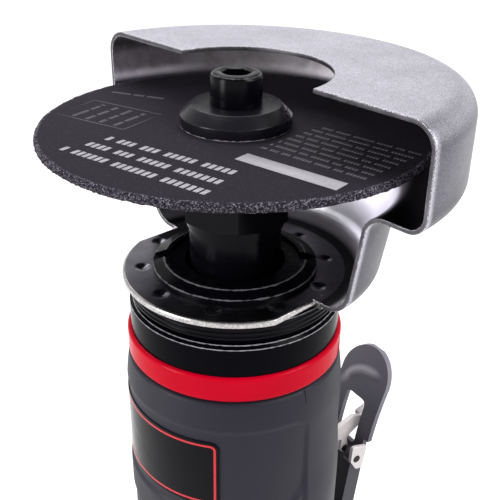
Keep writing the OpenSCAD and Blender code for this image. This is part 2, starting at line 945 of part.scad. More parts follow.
// Hub on the spindle: spanner hexagon, flange and pilot for the wheel
module spindle_hub() {
    color(dark_steel)
        difference() {
            union() {
                rod(hub_foot_d, z_hub, z_hub + hub_foot_h);
                rod(hub_d, z_hub + hub_foot_h, z_hub_neck);
                rod(hub_step_d, z_hex - hub_step_h, z_hex);
                intersection() {
                    hexagon(hub_hex_af, z_hex, z_hex_top);
                    union() {
                        taper(hub_hex_af, hub_hex_af + hex_bevel * hex_slope, z_hex, z_hex + hex_bevel);
                        rod(hub_hex_af * 2, z_hex + hex_bevel, z_hex_top);
                    }
                }
                taper(hub_flange_d - edge_bevel * 2, hub_flange_d, z_hub_neck, z_hub_neck + edge_bevel);
                rod(hub_flange_d, z_hub_neck + edge_bevel, z_hub_top);
                rod(arbor_d - fit * 2, z_hub_top, z_hub_top + wheel_t * pilot_share);
            }
            rod(spindle_d + fit * 2, z_hub - over, z_spindle_top + spindle_room);
            rod(screw_d + fit * 2, z_flange_top - screw_len - tap_room, z_wheel_top);
        }
}

// Abrasive disc
module cutting_wheel() {
    color(abrasive)
        ring(wheel_d, arbor_d, z_hub_top, z_wheel_top);
}

// Bevelled clamp flange
module outer_flange() {
    color(dark_steel)
        difference() {
            union() {
                rod(flange_d, z_wheel_top, z_wheel_top + flange_rim_h);
                taper(flange_d, flange_top_d, z_wheel_top + flange_rim_h, z_flange_top);
            }
            rod(screw_d + run_gap * 2, z_wheel_top - over, z_flange_top + over);
        }
}

// Socket head cap screw
module wheel_screw() {
    color(dark_steel)
        difference() {
            union() {
                rod(screw_d, z_flange_top - screw_len, z_flange_top);
                rod(screw_head_d, z_flange_top, z_screw_top - edge_bevel);
                taper(screw_head_d, screw_head_d - edge_bevel * 2, z_screw_top - edge_bevel, z_screw_top);
            }
            hexagon(socket_af, z_screw_top - socket_depth, z_screw_top + over);
        }
}

// Pressed half guard: a rounded C-section round the wheel, a conical neck and a full ring plate with two flats
module wheel_guard() {
    mid_top = z_wheel_top + guard_above - guard_t / 2;
    mid_low = z_wheel_top - guard_below + guard_t / 2;
    mid_plate = z_plate_top - guard_t / 2;
    wall = wheel_d / 2 + guard_gap + guard_t / 2;
    section = rounded(
        [
            [guard_hole_d / 2, mid_top],
            [wall - guard_wall_lean, mid_top],
            [wall, mid_low],
            [neck_top_d / 2, mid_low],
            [neck_foot_d / 2, mid_plate],
            [boss_d / 2 + guard_t, mid_plate],
        ],
        [guard_bend_r, guard_foot_r, neck_bend_r, neck_foot_r]
    );
    color(sheet_steel)
        rotate(guard_turn)
            difference() {
                union() {
                    intersection() {
                        rotate_extrude()
                            polygon(sheet(section, guard_t));
                        translate([guard_chord, -wheel_d, 0])
                            cube([wheel_d * 2, wheel_d * 2, z_screw_top * 2]);
                    }
                    rod(ring_plate_d, z_plate, z_plate_top);
                }
                rod(boss_d + run_gap * 2, z_plate - over, z_plate_top + over);
                for (side = [0, 1])
                    mirror([0, side, 0])
                        translate([guard_chord - relief_len, relief_d / 2, z_plate - over])
                            cube([relief_len, ring_plate_d, plate_t + over * 2]);
                for (i = [0 : dimple_count - 1])
                    rotate(dimple_first + 360 * i / dimple_count)
                        translate([dimple_circle_d / 2, 0, z_plate_top + dimple_r - dimple_depth])
                            sphere(r = dimple_r);
            }
}

// Pressed lever: wide flared strap, narrower channel with two cheeks, slot for the latch
module throttle_lever() {
    strap = rounded(
        [
            [lever_mid, -lever_tail],
            [lever_mid, lever_len - flare_len],
            [lever_mid + flare_len * tan(lever_flare), lever_len],
        ],
        [flare_bend_r]
    );
    color(dark_steel)
        difference() {
            union() {
                intersection() {
                    lever_slab(lever_w)
                        polygon(sheet(strap, lever_t));
                    lever_blank();
                }
                for (side = [-1, 1])
                    lever_slab(channel_t, side * (channel_w - channel_t) / 2)
                        lever_cheek();
            }
            along_y(pin_x, z_pin)
                cylinder(d = lever_pin_d + fit * 2, h = lever_w, center = true);
            in_lever() {
                along_y(latch_v, latch_u)
                    cylinder(d = latch_pin_d, h = lever_w, center = true);
                latch_slot();
            }
        }
}

// Places what is built in the lever's axes, v along X and u along Z
module in_lever() {
    translate([pin_x, 0, z_pin])
        rotate([0, lever_lean, 0])
            children();
}

// Flat outline of the strap: round free end, wide part, stepped down to the channel
module lever_blank() {
    end = lever_len - lever_w / 2;
    in_lever()
        rotate([90, 0, 90])
            linear_extrude(lever_len) {
                translate([0, end])
                    circle(d = lever_w);
                translate([-lever_w / 2, step_u])
                    square([lever_w, end - step_u]);
                translate([-channel_w / 2, -lever_len])
                    square([channel_w, lever_len + step_u + step_r]);
            }
}
module lever_cheek() {
    difference() {
        union() {
            translate([lever_in - channel_depth, channel_mouth_u])
                square([channel_depth, channel_u - channel_mouth_u]);
            polygon([
                [0, -eye_d / 2], [lever_mid, -lever_tail], [lever_mid, channel_u],
                [lever_in - channel_depth, channel_mouth_u], [-eye_d / 2, 0],
            ]);
            circle(d = eye_d);
            translate([latch_v, latch_u])
                circle(d = latch_eye_d);
        }
        translate([lever_mid, -lever_len])
            square([lever_len, lever_len * 2]);
    }
}
module latch_slot() {
    rotate([90, 0, 90])
        linear_extrude(lever_len) {
            translate([-slot_w / 2 + slot_r, slot_u[0]])
                square([slot_w - slot_r * 2, slot_u[1] - slot_u[0]]);
            translate([-slot_w / 2, slot_u[0] + slot_r])
                square([slot_w, slot_u[1] - slot_u[0] - slot_r * 2]);
            for (side = [-1, 1], u = [slot_u[0] + slot_r, slot_u[1] - slot_r])
                translate([side * (slot_w / 2 - slot_r), u])
                    circle(r = slot_r);
        }
}
module latch_pin() {
    color(bright_steel)
        in_lever()
            along_y(latch_v, latch_u)
                cylinder(d = latch_pin_d, h = channel_w + (latch_gap + latch_t + pin_head) * 2, center = true);
}

// Zinc-plated stop: two ears on the pin, a web outside the lever and a foot through its slot
module safety_latch() {
    web = [[latch_web_v, latch_web_u[0]], [latch_web_v, latch_web_u[1]], latch_tab];
    low_web = [[latch_web_v, latch_web_u[0]], [latch_web_v, ear_h * ear_shares[1][1]]];
    span = channel_w + (latch_gap + latch_t) * 2;
    color(zinc)
        difference() {
            union() {
                latch_slab(latch_tab_w)
                    polygon(sheet(rounded(web, [latch_bend_r]), latch_t));
                latch_slab(span)
                    polygon(sheet(low_web, latch_t));
                for (side = [-1, 1])
                    latch_slab(latch_t, side * (span - latch_t) / 2) {
                        circle(d = ear_d);
                        polygon([for (s = ear_shares) [s[0] * ear_w, s[1] * ear_h]]);
                    }
                latch_slab(foot_w)
                    polygon([
                        [latch_web_v, foot_root_u + foot_h / 2], [latch_web_v, foot_root_u - foot_h / 2],
                        foot_tip - [0, foot_h / 2], foot_tip + [0, foot_h / 2],
                    ]);
            }
            in_lever()
                along_y(latch_v, latch_u)
                    cylinder(d = latch_pin_d + fit * 2, h = lever_w * 2, center = true);
        }
}
module latch_slab(w, side = 0) {
    lever_slab(w, side)
        translate([latch_v, latch_u])
            children();
}

// Torsion spring on the latch's pin, with one leg on the lever and one under the foot
module latch_spring() {
    r = latch_spring_d / 2;
    count = latch_spring_steps * latch_spring_turns;
    half = latch_spring_pitch * latch_spring_turns / 2;
    coil = [
        for (i = [0 : count])
            let (angle = 360 * i / latch_spring_steps)
            [r * cos(angle), r * sin(angle), latch_spring_pitch * i / latch_spring_steps - half],
    ];
    legs_in = [[r, -latch_spring_leg, -half], [r, -latch_spring_leg / 2, -half]];
    legs_out = [[r, latch_spring_leg / 2, half], [r, latch_spring_leg, half]];
    color(bright_steel)
        in_lever()
            translate([latch_v, 0, latch_u])
                rotate([90, 0, 0])
                    wire(concat(legs_in, coil, legs_out), latch_spring_wire_d, [0, 0, 1]);
}

// Pin of the lever, fixed in the housing's lug
module lever_pin() {
    color(bright_steel)
        along_y(pin_x, z_pin)
            cylinder(d = lever_pin_d, h = channel_w, center = true);
}

// Brass bush that guides the stem and carries the valve seat
module valve_bush() {
    color(brass_tone)
        along_x(z_valve)
            difference() {
                rod(valve_bush_d, valve_seat_x, bush_out_x);
                rod(valve_stem_d + fit * 2, valve_seat_x - over, bush_out_x + over);
                rod(bush_chamber_d, valve_seat_x - over, bush_chamber_x);
                rod(stem_groove_d(), stem_seal_x - stem_seal_wire_d / 2, stem_seal_x + stem_seal_wire_d / 2);
                ring(housing_d, bush_groove_d, feed_x - bush_groove_w / 2, feed_x + bush_groove_w / 2);
                for (angle = [0 : 90 : 270])
                    rotate(angle)
                        translate([0, 0, feed_x])
                            rotate([90, 0, 0])
                                cylinder(d = bush_port_d, h = housing_d);
                translate([-valve_bush_d, -bush_slot_w / 2, bush_out_x - bush_slot_h])
                    cube([valve_bush_d * 2, bush_slot_w, bush_slot_h + over]);
            }
}
function stem_seal_mid_d() = valve_stem_d + seal_squash * 2 + stem_seal_wire_d;
function stem_groove_d() = stem_seal_mid_d() + stem_seal_wire_d + seal_squash * 2;
module stem_seal() {
    color(rubber_black)
        along_x(z_valve)
            o_ring(stem_seal_mid_d(), stem_seal_wire_d - seal_squash, stem_seal_x);
}

// Stem with its head, pushed in by the lever
module valve_stem() {
    tip = lever_face_x() - (valve_stem_d / 2 - stem_tip_bevel) * tan(lever_lean) - stem_gap;
    color(bright_steel)
        along_x(z_valve) {
            rod(valve_nose_d, valve_head_x0() - valve_nose_len, valve_head_x0());
            rod(valve_head_d, valve_head_x0(), valve_head_x1());
            rod(valve_stem_d, valve_head_x1(), tip - stem_tip_bevel);
            taper(valve_stem_d, valve_stem_d - stem_tip_bevel * 2, tip - stem_tip_bevel, tip);
        }
}
module valve_seal() {
    color(rubber_black)
        along_x(z_valve)
            ring(valve_head_d, valve_stem_d, valve_head_x1(), valve_head_x1() + valve_seal_w);
}

// Coil spring behind the valve's head
module valve_spring() {
    steps = 12;
    room = spring_len - spring_wire_d - fit * 2;
    points = [
        for (i = [0 : spring_turns * steps])
            [
                spring_d / 2 * cos(360 * i / steps), spring_d / 2 * sin(360 * i / steps),
                valve_pocket_x + spring_wire_d / 2 + fit + room * i / (spring_turns * steps),
            ],
    ];
    color(bright_steel)
        along_x(z_valve)
            wire(points, spring_wire_d, [0, 0, 1]);
}

// Regulator: a fluted head on a spool with a cross port
module regulator_spool() {
    color(bright_steel)
        along_x(z_regulator)
            difference() {
                union() {
                    rod(regulator_d, -housing_d / 2, regulator_in_x - run_gap);
                    rod(regulator_head_d, regulator_head_x, -housing_d / 2 - run_gap);
                    rod(regulator_groove_d, -housing_d / 2 - run_gap, -housing_d / 2);
                }
                rotate([0, 90, 0])
                    cylinder(d = regulator_port_d, h = housing_d, center = true);
                ring(housing_d, regulator_groove_d, regulator_groove_x - regulator_groove_w / 2,
                     regulator_groove_x + regulator_groove_w / 2);
                ring(housing_d, regulator_seal_bed_d(), regulator_seal_x - regulator_seal_wire_d / 2,
                     regulator_seal_x + regulator_seal_wire_d / 2);
                translate([-regulator_head_d, -regulator_slot_w / 2, regulator_head_x - over])
                    cube([regulator_head_d * 2, regulator_slot_w, regulator_slot_h + over]);
                for (i = [0 : flute_count - 1])
                    rotate(360 * i / flute_count)
                        translate([regulator_head_d / 2, 0, 0])
                            rod(flute_d, regulator_head_x - over, -housing_d / 2 - run_gap);
            }
}
function regulator_seal_bed_d() = regulator_d + (fit - regulator_seal_wire_d - seal_squash * 2) * 2;
module regulator_seal() {
    color(rubber_black)
        along_x(z_regulator)
            o_ring(regulator_d + fit * 2 - regulator_seal_wire_d, regulator_seal_wire_d - seal_squash, regulator_seal_x);
}
module regulator_pin() {
    color(bright_steel)
        translate([regulator_groove_x, 0, regulator_pin_z()])
            rotate([90, 0, 0])
                cylinder(d = regulator_pin_d, h = regulator_pin_len, center = true);
}

// Threaded air inlet, whose flange keeps the deflector on
module inlet_bush() {
    color(dark_steel)
        difference() {
            union() {
                hexagon(inlet_af, 0, bush_hex_h);
                rod(bush_flange_d, bush_hex_h, bush_hex_h + bush_flange_h);
                rod(bush_body_d, bush_hex_h + bush_flange_h, bush_len);
            }
            rod(inlet_thread_d, -over, inlet_thread_len);
            rod(bush_through_d, 0, bush_len + over);
        }
}
module inlet_screen() {
    color(brass_tone)
        difference() {
            rod(bush_body_d - fit * 2, bush_len, bush_len + screen_t);
            for (row = screen_rings, i = [0 : row[0] - 1])
                rotate(360 * i / row[0])
                    translate([row[1], 0, 0])
                        rod(screen_hole_d, bush_len - over, bush_len + screen_t + over);
        }
}

// Cup that turns round the inlet bush and blows the exhaust to one side
module exhaust_deflector() {
    r_tail = deflector_tail_d / 2;
    r_top = deflector_d / 2;
    top = z_rear - run_gap;
    lip_low = bush_hex_h + bush_flange_h + run_gap;
    color(charcoal)
        difference() {
            rotate_extrude()
                polygon([
                    [deflector_eye_d / 2, 0],
                    each fillet([deflector_eye_d / 2, 0], [r_tail, 0], [r_top, top], deflector_round),
                    [r_top, top],
                    [bush_body_d / 2 + run_gap, top],
                    [bush_body_d / 2 + run_gap, lip_low],
                    [deflector_eye_d / 2, lip_low],
                ]);
            rotate_extrude()
                polygon([
                    [deflector_eye_d / 2 + deflector_wall, deflector_floor],
                    [r_tail - deflector_wall / 2, deflector_floor],
                    [r_top - deflector_wall, top + over],
                    [deflector_eye_d / 2 + deflector_wall, top + over],
                ]);
            for (i = [0 : vent_count - 1])
                rotate(vent_centre + vent_pitch * (i - (vent_count - 1) / 2))
                    translate([deflector_eye_d / 2 + deflector_wall, -vent_w / 2, deflector_floor])
                        cube([deflector_d, vent_w, vent_h]);
        }
}
module muffler_ring() {
    r_in = deflector_eye_d / 2 + deflector_wall + felt_gap;
    r_out = deflector_tail_d / 2 - deflector_wall / 2 - felt_gap;
    color(felt_grey)
        ring(r_out * 2, r_in * 2, deflector_floor, deflector_floor + felt_h);
}

motor_housing();
grip_sleeve();
trim_ring();
front_retainer();
guard_clamp_nut();
guard_seat_ring();
cylinder_liner();
front_end_plate();
rear_end_plate();
cylinder_dowel();
front_bearing_outer();
rear_bearing_outer();
valve_bush();
stem_seal();
valve_spring();
lever_pin();
inlet_bush();
inlet_screen();
regulator_seal();
regulator_pin();
rotor();
rotor_vane_1();
rotor_vane_2();
rotor_vane_3();
rotor_vane_4();
front_bearing_inner();
rear_bearing_inner();
spindle_hub();
cutting_wheel();
outer_flange();
wheel_screw();
front_bearing_balls();
front_bearing_cage();
rear_bearing_balls();
rear_bearing_cage();
wheel_guard();
throttle_lever();
latch_pin();
safety_latch();
latch_spring();
valve_stem();
valve_seal();
exhaust_deflector();
muffler_ring();
regulator_spool();
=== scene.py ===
import bmesh
import bpy
import numpy as np
from mathutils import Matrix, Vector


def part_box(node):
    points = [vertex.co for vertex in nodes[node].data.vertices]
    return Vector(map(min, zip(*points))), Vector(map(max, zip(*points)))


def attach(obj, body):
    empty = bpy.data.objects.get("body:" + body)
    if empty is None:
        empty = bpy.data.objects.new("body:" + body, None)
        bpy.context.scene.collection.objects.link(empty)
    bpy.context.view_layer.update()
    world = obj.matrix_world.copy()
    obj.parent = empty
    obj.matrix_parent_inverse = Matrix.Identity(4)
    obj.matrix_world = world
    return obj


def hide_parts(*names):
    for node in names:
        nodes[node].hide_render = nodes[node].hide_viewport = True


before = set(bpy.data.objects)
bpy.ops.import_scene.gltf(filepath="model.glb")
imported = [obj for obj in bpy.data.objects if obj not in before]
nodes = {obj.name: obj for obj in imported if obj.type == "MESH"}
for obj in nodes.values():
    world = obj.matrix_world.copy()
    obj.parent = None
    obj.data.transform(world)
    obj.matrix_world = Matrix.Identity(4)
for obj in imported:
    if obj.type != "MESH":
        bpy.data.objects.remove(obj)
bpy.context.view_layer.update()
mm = 0.001


# MOTOR HOUSING
# The barrel is one turned aluminium piece, anodised black. Only its nose collar shows between
# the seat ring and the red ring, with a fine worn line along its bevel.
def principled(finish):
    """The sockets of a material's Principled shader."""
    return finish.node_tree.nodes["Principled BSDF"].inputs


def plain_finish(name, colour, rough, metal=0.0, specular=0.5, coat=0.0):
    """A Principled material whose even numbers stand on the shader's own sockets."""
    finish = bpy.data.materials.new(name)
    finish.use_nodes = True
    for key, value in (("Base Color", (*colour, 1.0)), ("Roughness", rough), ("Metallic", metal),
                       ("Specular IOR Level", specular), ("Coat Weight", coat)):
        principled(finish)[key].default_value = value
    return finish


def add(tree, kind, sockets=None, **settings):
    """One node; each named socket takes a number, or a link where it is given another node's output."""
    node = tree.nodes.new("ShaderNode" + kind)
    for key, value in settings.items():
        setattr(node, key, value)
    for key, value in (sockets or {}).items():
        if isinstance(value, bpy.types.NodeSocket):
            tree.links.new(value, node.inputs[key])
        else:
            node.inputs[key].default_value = value
    return node


def effect_group(name, inputs, outputs):
    """An empty node group with these float inputs and outputs, and its two end nodes."""
    tree = bpy.data.node_groups.new(name, "ShaderNodeTree")
    for label, start in inputs.items():
        socket = tree.interface.new_socket(label, in_out="INPUT", socket_type="NodeSocketFloat")
        socket.default_value = start
    for label in outputs:
        tree.interface.new_socket(label, in_out="OUTPUT", socket_type="NodeSocketFloat")
    return tree, tree.nodes.new("NodeGroupInput").outputs, tree.nodes.new("NodeGroupOutput").inputs


def use_effect(finish, tree, **values):
    """The group placed in a material with its own values, and its outputs by name."""
    node = finish.node_tree.nodes.new("ShaderNodeGroup")
    node.node_tree = tree
    for key, value in values.items():
        node.inputs[key].default_value = value
    return node.outputs


def blend_colour(finish, mask, colour, under=None):
    """Base Color goes from what is there, or the under output's colour, to this colour by the mask."""
    base = principled(finish)["Base Color"]
    start = under or tuple(base.default_value)
    mix = add(finish.node_tree, "Mix", {0: mask, 6: start, 7: (*colour, 1.0)}, data_type="RGBA")
    finish.node_tree.links.new(mix.outputs[2], base)
    return mix.outputs[2]


def ramp(tree, value, low, high, start=0.0, end=1.0, smooth=True):
    """A value from low to high turned into a number from start to end, with or without soft ends."""
    sockets = {"Value": value, "From Min": low, "From Max": high, "To Min": start, "To Max": end}
    kind = "SMOOTHSTEP" if smooth else "LINEAR"
    return add(tree, "MapRange", sockets, interpolation_type=kind).outputs["Result"]


def spread(finish, mask, low, high):
    """A mask from 0 to 1 spread evenly between two numbers."""
    return ramp(finish.node_tree, mask, 0.0, 1.0, low, high, smooth=False)


def reckon(tree, operation, *values, kind="Math", **settings):
    """The answer of one Math node, or of one VectorMath node that gives a number."""
    node = add(tree, kind, dict(enumerate(values)), operation=operation, **settings)
    return node.outputs["Value"]


def noise(tree, place, scale, detail, rough=0.5):
    """Noise from 0 to 1 at a place."""
    sockets = {"Vector": place, "Scale": scale, "Detail": detail, "Roughness": rough}
    return add(tree, "TexNoise", sockets).outputs["Fac"]


def bump(finish, height, strength, depth):
    """A Bump node of this depth in metres on the shader's Normal."""
    node = add(finish.node_tree, "Bump", {"Height": height, "Strength": strength, "Distance": depth})
    finish.node_tree.links.new(node.outputs["Normal"], principled(finish)["Normal"])


def link(finish, **sources):
    """Links outputs to the shader's sockets, named with _ for a space."""
    for key, value in sources.items():
        finish.node_tree.links.new(value, principled(finish)[key.replace("_", " ")])


def polar(tree):
    """Place, radius from the tool's axis and height along it, from Object coordinates."""
    place = add(tree, "TexCoord").outputs["Object"]
    split = add(tree, "SeparateXYZ", {"Vector": place})
    flat = add(tree, "CombineXYZ", {"X": split.outputs["X"], "Y": split.outputs["Y"]})
    radius = reckon(tree, "LENGTH", flat.outputs["Vector"], kind="VectorMath")
    return place, radius, split.outputs["Z"]


# Lathe marks: noise that changes with radius and height only, so it runs round the tool.
lathe_marks, given, gives = effect_group("lathe marks", {"Fineness": 6000.0}, ["Tone", "Height"])
place, radius, level = polar(lathe_marks)
ring = add(lathe_marks, "CombineXYZ", {"X": radius, "Z": level}).outputs["Vector"]
lathe_marks.links.new(noise(lathe_marks, ring, given["Fineness"], 2.0), gives["Height"])
lathe_marks.links.new(noise(lathe_marks, place, 160.0, 4.0), gives["Tone"])

# Edge wear and glint: a mask round one turned edge, given by its radius and level, broken up by noise.
# It marks worn metal on some parts and a painted highlight on others.
edge_wear_and_glint, given, gives = effect_group(
    "edge wear and glint", {"Radius": 0.02, "Level": 0.15, "Reach": 0.0005, "Break up": 2.2}, ["Mask"])
place, radius, level = polar(edge_wear_and_glint)
across = reckon(edge_wear_and_glint, "SUBTRACT", radius, given["Radius"])
along = reckon(edge_wear_and_glint, "SUBTRACT", level, given["Level"])
both = add(edge_wear_and_glint, "CombineXYZ", {"X": across, "Y": along}).outputs["Vector"]
far = reckon(edge_wear_and_glint, "LENGTH", both, kind="VectorMath")
share = reckon(edge_wear_and_glint, "DIVIDE", far, given["Reach"])
ragged = reckon(edge_wear_and_glint, "SUBTRACT", noise(edge_wear_and_glint, place, 900.0, 3.0), 0.5)
ragged = reckon(edge_wear_and_glint, "MULTIPLY_ADD", ragged, given["Break up"], share)
edge_wear_and_glint.links.new(ramp(edge_wear_and_glint, ragged, 0.5, 1.0, 1.0, 0.0), gives["Mask"])


def turned_finish(name, colour, rough, metal, specular=0.5, fineness=6000.0, depth=4e-6, edges=(),
                  edge_colour=(0.30, 0.30, 0.32)):
    """Lathe marks in bump and roughness, and a paler colour at edges given as (radius, level, reach): worn
    metal on some parts, a painted highlight on others.
    """
    finish = plain_finish(name, colour, rough, metal, specular)
    marks = use_effect(finish, lathe_marks, Fineness=fineness)
    link(finish, Roughness=spread(finish, marks["Tone"], rough * 0.6, rough * 1.5))
    bump(finish, marks["Height"], 0.35, depth)
    under = None
    for radius, level, reach in edges:
        edge_tone = use_effect(finish, edge_wear_and_glint, Radius=radius, Level=level, Reach=reach)["Mask"]
        under = blend_colour(finish, edge_tone, edge_colour, under)
    return finish


def dress(finish, *names):
    """Puts a finish on the slots of these CAD nodes."""
    for name in names:
        slots = nodes[name].data.materials
        slots.clear()
        slots.append(finish)


nose_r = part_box("motor_housing")[1].y
nose_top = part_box("motor_housing")[1].z
nose_bevel = 0.7 * mm
nose_edges = [(nose_r - nose_bevel, nose_top, 0.16 * mm), (nose_r, nose_top - nose_bevel, 0.12 * mm)]
black_anodising = turned_finish("black anodising", (0.0012, 0.001, 0.0026), 0.16, 0.0, specular=0.03,
                                edges=nose_edges)
dress(black_anodising, "motor_housing")


# AIR MOTOR
# Cylinder, end plates and rotor are ground steel, shut in the barrel and held round by a dowel.
# The four vanes are laminated resin and slide in the rotor's slots.
ground_steel = turned_finish("ground steel", (0.50, 0.50, 0.52), 0.24, 1.0, fineness=9000.0)
dress(ground_steel, "cylinder_liner", "front_end_plate", "rear_end_plate", "cylinder_dowel", "rotor")

laminate = plain_finish("vane laminate", (0.13, 0.075, 0.035), 0.55)
tree = laminate.node_tree
place = add(tree, "TexCoord").outputs["Object"]
drawn_out = add(tree, "Mapping", {"Vector": place, "Scale": (1.0, 1.0, 0.05)}).outputs["Vector"]
layers = noise(tree, drawn_out, 5000.0, 3.0)
blend_colour(laminate, layers, (0.24, 0.16, 0.09))
link(laminate, Roughness=spread(laminate, layers, 0.4, 0.7))
bump(laminate, layers, 0.3, 1e-5)
dress(laminate, *(f"rotor_vane_{number}" for number in range(1, 5)))


# BEARINGS
# Two ball bearings carry the rotor. Races and balls are polished steel, the cages stamped brass.
race_steel = turned_finish("race steel", (0.60, 0.60, 0.62), 0.12, 1.0, fineness=12000.0, depth=1e-6)
dress(race_steel, *(f"{end}_bearing_{part}" for end in ("front", "rear")
                    for part in ("outer", "inner", "balls")))
brass = turned_finish("brass", (0.62, 0.44, 0.18), 0.26, 1.0, fineness=7000.0)
dress(brass, "front_bearing_cage", "rear_bearing_cage")


# VALVE AND REGULATOR
# The brass bush holds a steel stem that the lever pushes in; rubber rings seal both it and the
# knurled regulator, and a wire spring shuts the valve. A pin keeps the regulator in.
dress(brass, "valve_bush")
pin_steel = turned_finish("pin steel", (0.36, 0.36, 0.38), 0.28, 1.0)
dress(pin_steel, "valve_stem", "regulator_spool", "regulator_pin")

# Fine grain: noise in Object coordinates, as a tone and as a height.
fine_grain, given, gives = effect_group("fine grain", {"Scale": 3000.0, "Broad": 90.0}, ["Tone", "Height"])
place = add(fine_grain, "TexCoord").outputs["Object"]
fine_grain.links.new(noise(fine_grain, place, given["Scale"], 2.0, 0.6), gives["Height"])
fine_grain.links.new(noise(fine_grain, place, given["Broad"], 5.0, 0.6), gives["Tone"])


def grained_finish(name, colour, other, rough, metal=0.0, specular=0.5, coat=0.0, scale=3000.0, broad=90.0,
                   strength=0.3, depth=1e-5):
    """A moulded, cast or drawn finish: two colours by a broad tone, and grain in the bump."""
    finish = plain_finish(name, colour, rough, metal, specular, coat)
    grain = use_effect(finish, fine_grain, Scale=scale, Broad=broad)
    toned = ramp(finish.node_tree, grain["Tone"], 0.3, 0.7, smooth=False)
    blend_colour(finish, toned, other)
    link(finish, Roughness=spread(finish, toned, rough * 0.85, rough * 1.15))
    bump(finish, grain["Height"], strength, depth)
    return finish


spring_wire = grained_finish("spring wire", (0.42, 0.42, 0.44), (0.52, 0.52, 0.54), 0.3, 1.0)
dress(spring_wire, "valve_spring")
seal_rubber = grained_finish("seal rubber", (0.010, 0.010, 0.011), (0.016, 0.016, 0.017), 0.6, specular=0.3)
dress(seal_rubber, "stem_seal", "valve_seal", "regulator_seal")


# TAIL
# The exhaust deflector is a moulded cap that turns round the steel inlet bush with its brass screen.
# A felt ring inside it softens the exhaust noise.
dress(turned_finish("inlet oxide", (0.045, 0.045, 0.048), 0.3, 1.0), "inlet_bush")
dress(brass, "inlet_screen")
deflector_nylon = grained_finish("deflector nylon", (0.020, 0.020, 0.022), (0.026, 0.026, 0.028), 0.5,
                                 specular=0.3, scale=2500.0)
dress(deflector_nylon, "exhaust_deflector")
muffler_felt = grained_finish("muffler felt", (0.30, 0.30, 0.28), (0.42, 0.42, 0.40), 0.95, specular=0.1,
                              scale=1800.0, broad=600.0, strength=0.9, depth=2e-4)
dress(muffler_felt, "muffler_ring")


# TRIM RING
# A red moulded ring, glossy, sits between the nose collar and the grip and shows no fixing.
red_gloss = grained_finish("red gloss", (0.53, 0.0008, 0.015), (0.59, 0.001, 0.018), 0.2, specular=0.03,
                           coat=0.05, scale=700.0, broad=60.0, strength=0.1, depth=2e-5)
principled(red_gloss)["Coat Roughness"].default_value = 0.12
dress(red_gloss, "trim_ring")


# GRIP SLEEVE
# The grip is moulded in one piece from soft black plastic and pushed over the barrel. It has a belly, a
# waist, a shoulder to the red ring, two recessed panels round its back, and openings for the lever and
# the regulator.
grip_low, grip_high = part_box("grip_sleeve")
grip_r, grip_foot, grip_top = grip_high.x, grip_low.z, grip_high.z
grip_bore, grip_edge = 20.55 * mm, 1.0 * mm
waist_depth, waist_from, waist_to = 0.8 * mm, grip_top - 33 * mm, grip_top - 16 * mm
shoulder_drop, shoulder_from = 1.0 * mm, grip_top - 9 * mm
panel_r, band_r = 23.7 * mm, 24.2 * mm
panel_edge = np.radians(83)
panel_corner, panel_soft = 5.0 * mm, 0.7 * mm
label_panel = (111.5 * mm, grip_top - 6.9 * mm)
low_panel = (grip_foot + 22 * mm, 103.5 * mm)
split_angle, split_from = np.radians(84.5), grip_top - 3.8 * mm
split_w, split_depth = 0.14 * mm, 0.2 * mm
window_half, window_levels = 7.4 * mm, (32.8 * mm, 69.2 * mm)
hole_r, hole_level, hole_frame = 6.3 * mm, 46.0 * mm, 8.5 * mm


def ease(t):
    """Smooth step: 3t^2 - 2t^3 on t held between 0 and 1."""
    t = np.clip(t, 0.0, 1.0)
    return t * t * (3.0 - 2.0 * t)


def back_cover(angle, levels, level):
    """1 inside a panel with rounded corners round the back, 0 outside, with a soft step at its edge.

    The distance to a rounded box is taken on the unrolled surface, with arc length as one axis.
    """
    arc = (np.abs(np.abs(angle) - np.pi) - (np.pi - panel_edge)) * panel_r
    rise = np.abs(level - np.mean(levels)) - (levels[1] - levels[0]) / 2
    far_arc, far_rise = arc + panel_corner, rise + panel_corner
    outside = np.hypot(np.maximum(far_arc, 0), np.maximum(far_rise, 0))
    distance = outside + np.minimum(np.maximum(far_arc, far_rise), 0) - panel_corner
    return ease(0.5 - distance / (2 * panel_soft))


def edge_round(beyond):
    """How far a rounded edge falls back, at this depth into it: e - sqrt(e^2 - d^2)."""
    return grip_edge - np.sqrt(np.maximum(grip_edge ** 2 - np.clip(beyond, 0, grip_edge) ** 2, 0))


def grip_radius(angle, level):
    """Radius of the grip's outside: its profile, less panels, mould split line and rounded ends."""
    side = grip_r - waist_depth * ease((level - waist_from) / (waist_to - waist_from))
    side = side - shoulder_drop * np.clip((level - shoulder_from) / (grip_top - shoulder_from), 0, 1) ** 1.5
    band = (low_panel[0], label_panel[1])
    for levels, sunk_r in ((band, band_r), (label_panel, panel_r), (low_panel, panel_r)):
        side = side + (np.minimum(side, sunk_r) - side) * back_cover(angle, levels, level)
    off_split = (np.abs(angle) - split_angle) * grip_r
    split = np.exp(-(off_split / split_w) ** 2) * ease((level - split_from) / mm)
    return (side - split * split_depth - edge_round(level - (grip_top - grip_edge))
            - edge_round(grip_foot + grip_edge - level))


def wrap(angle, level, radius):
    """Points round the tool's axis: x = r cos a, y = r sin a, z = level."""
    angle, level, radius = np.broadcast_arrays(angle, level, radius)
    return np.stack([radius * np.cos(angle), radius * np.sin(angle), level], -1)


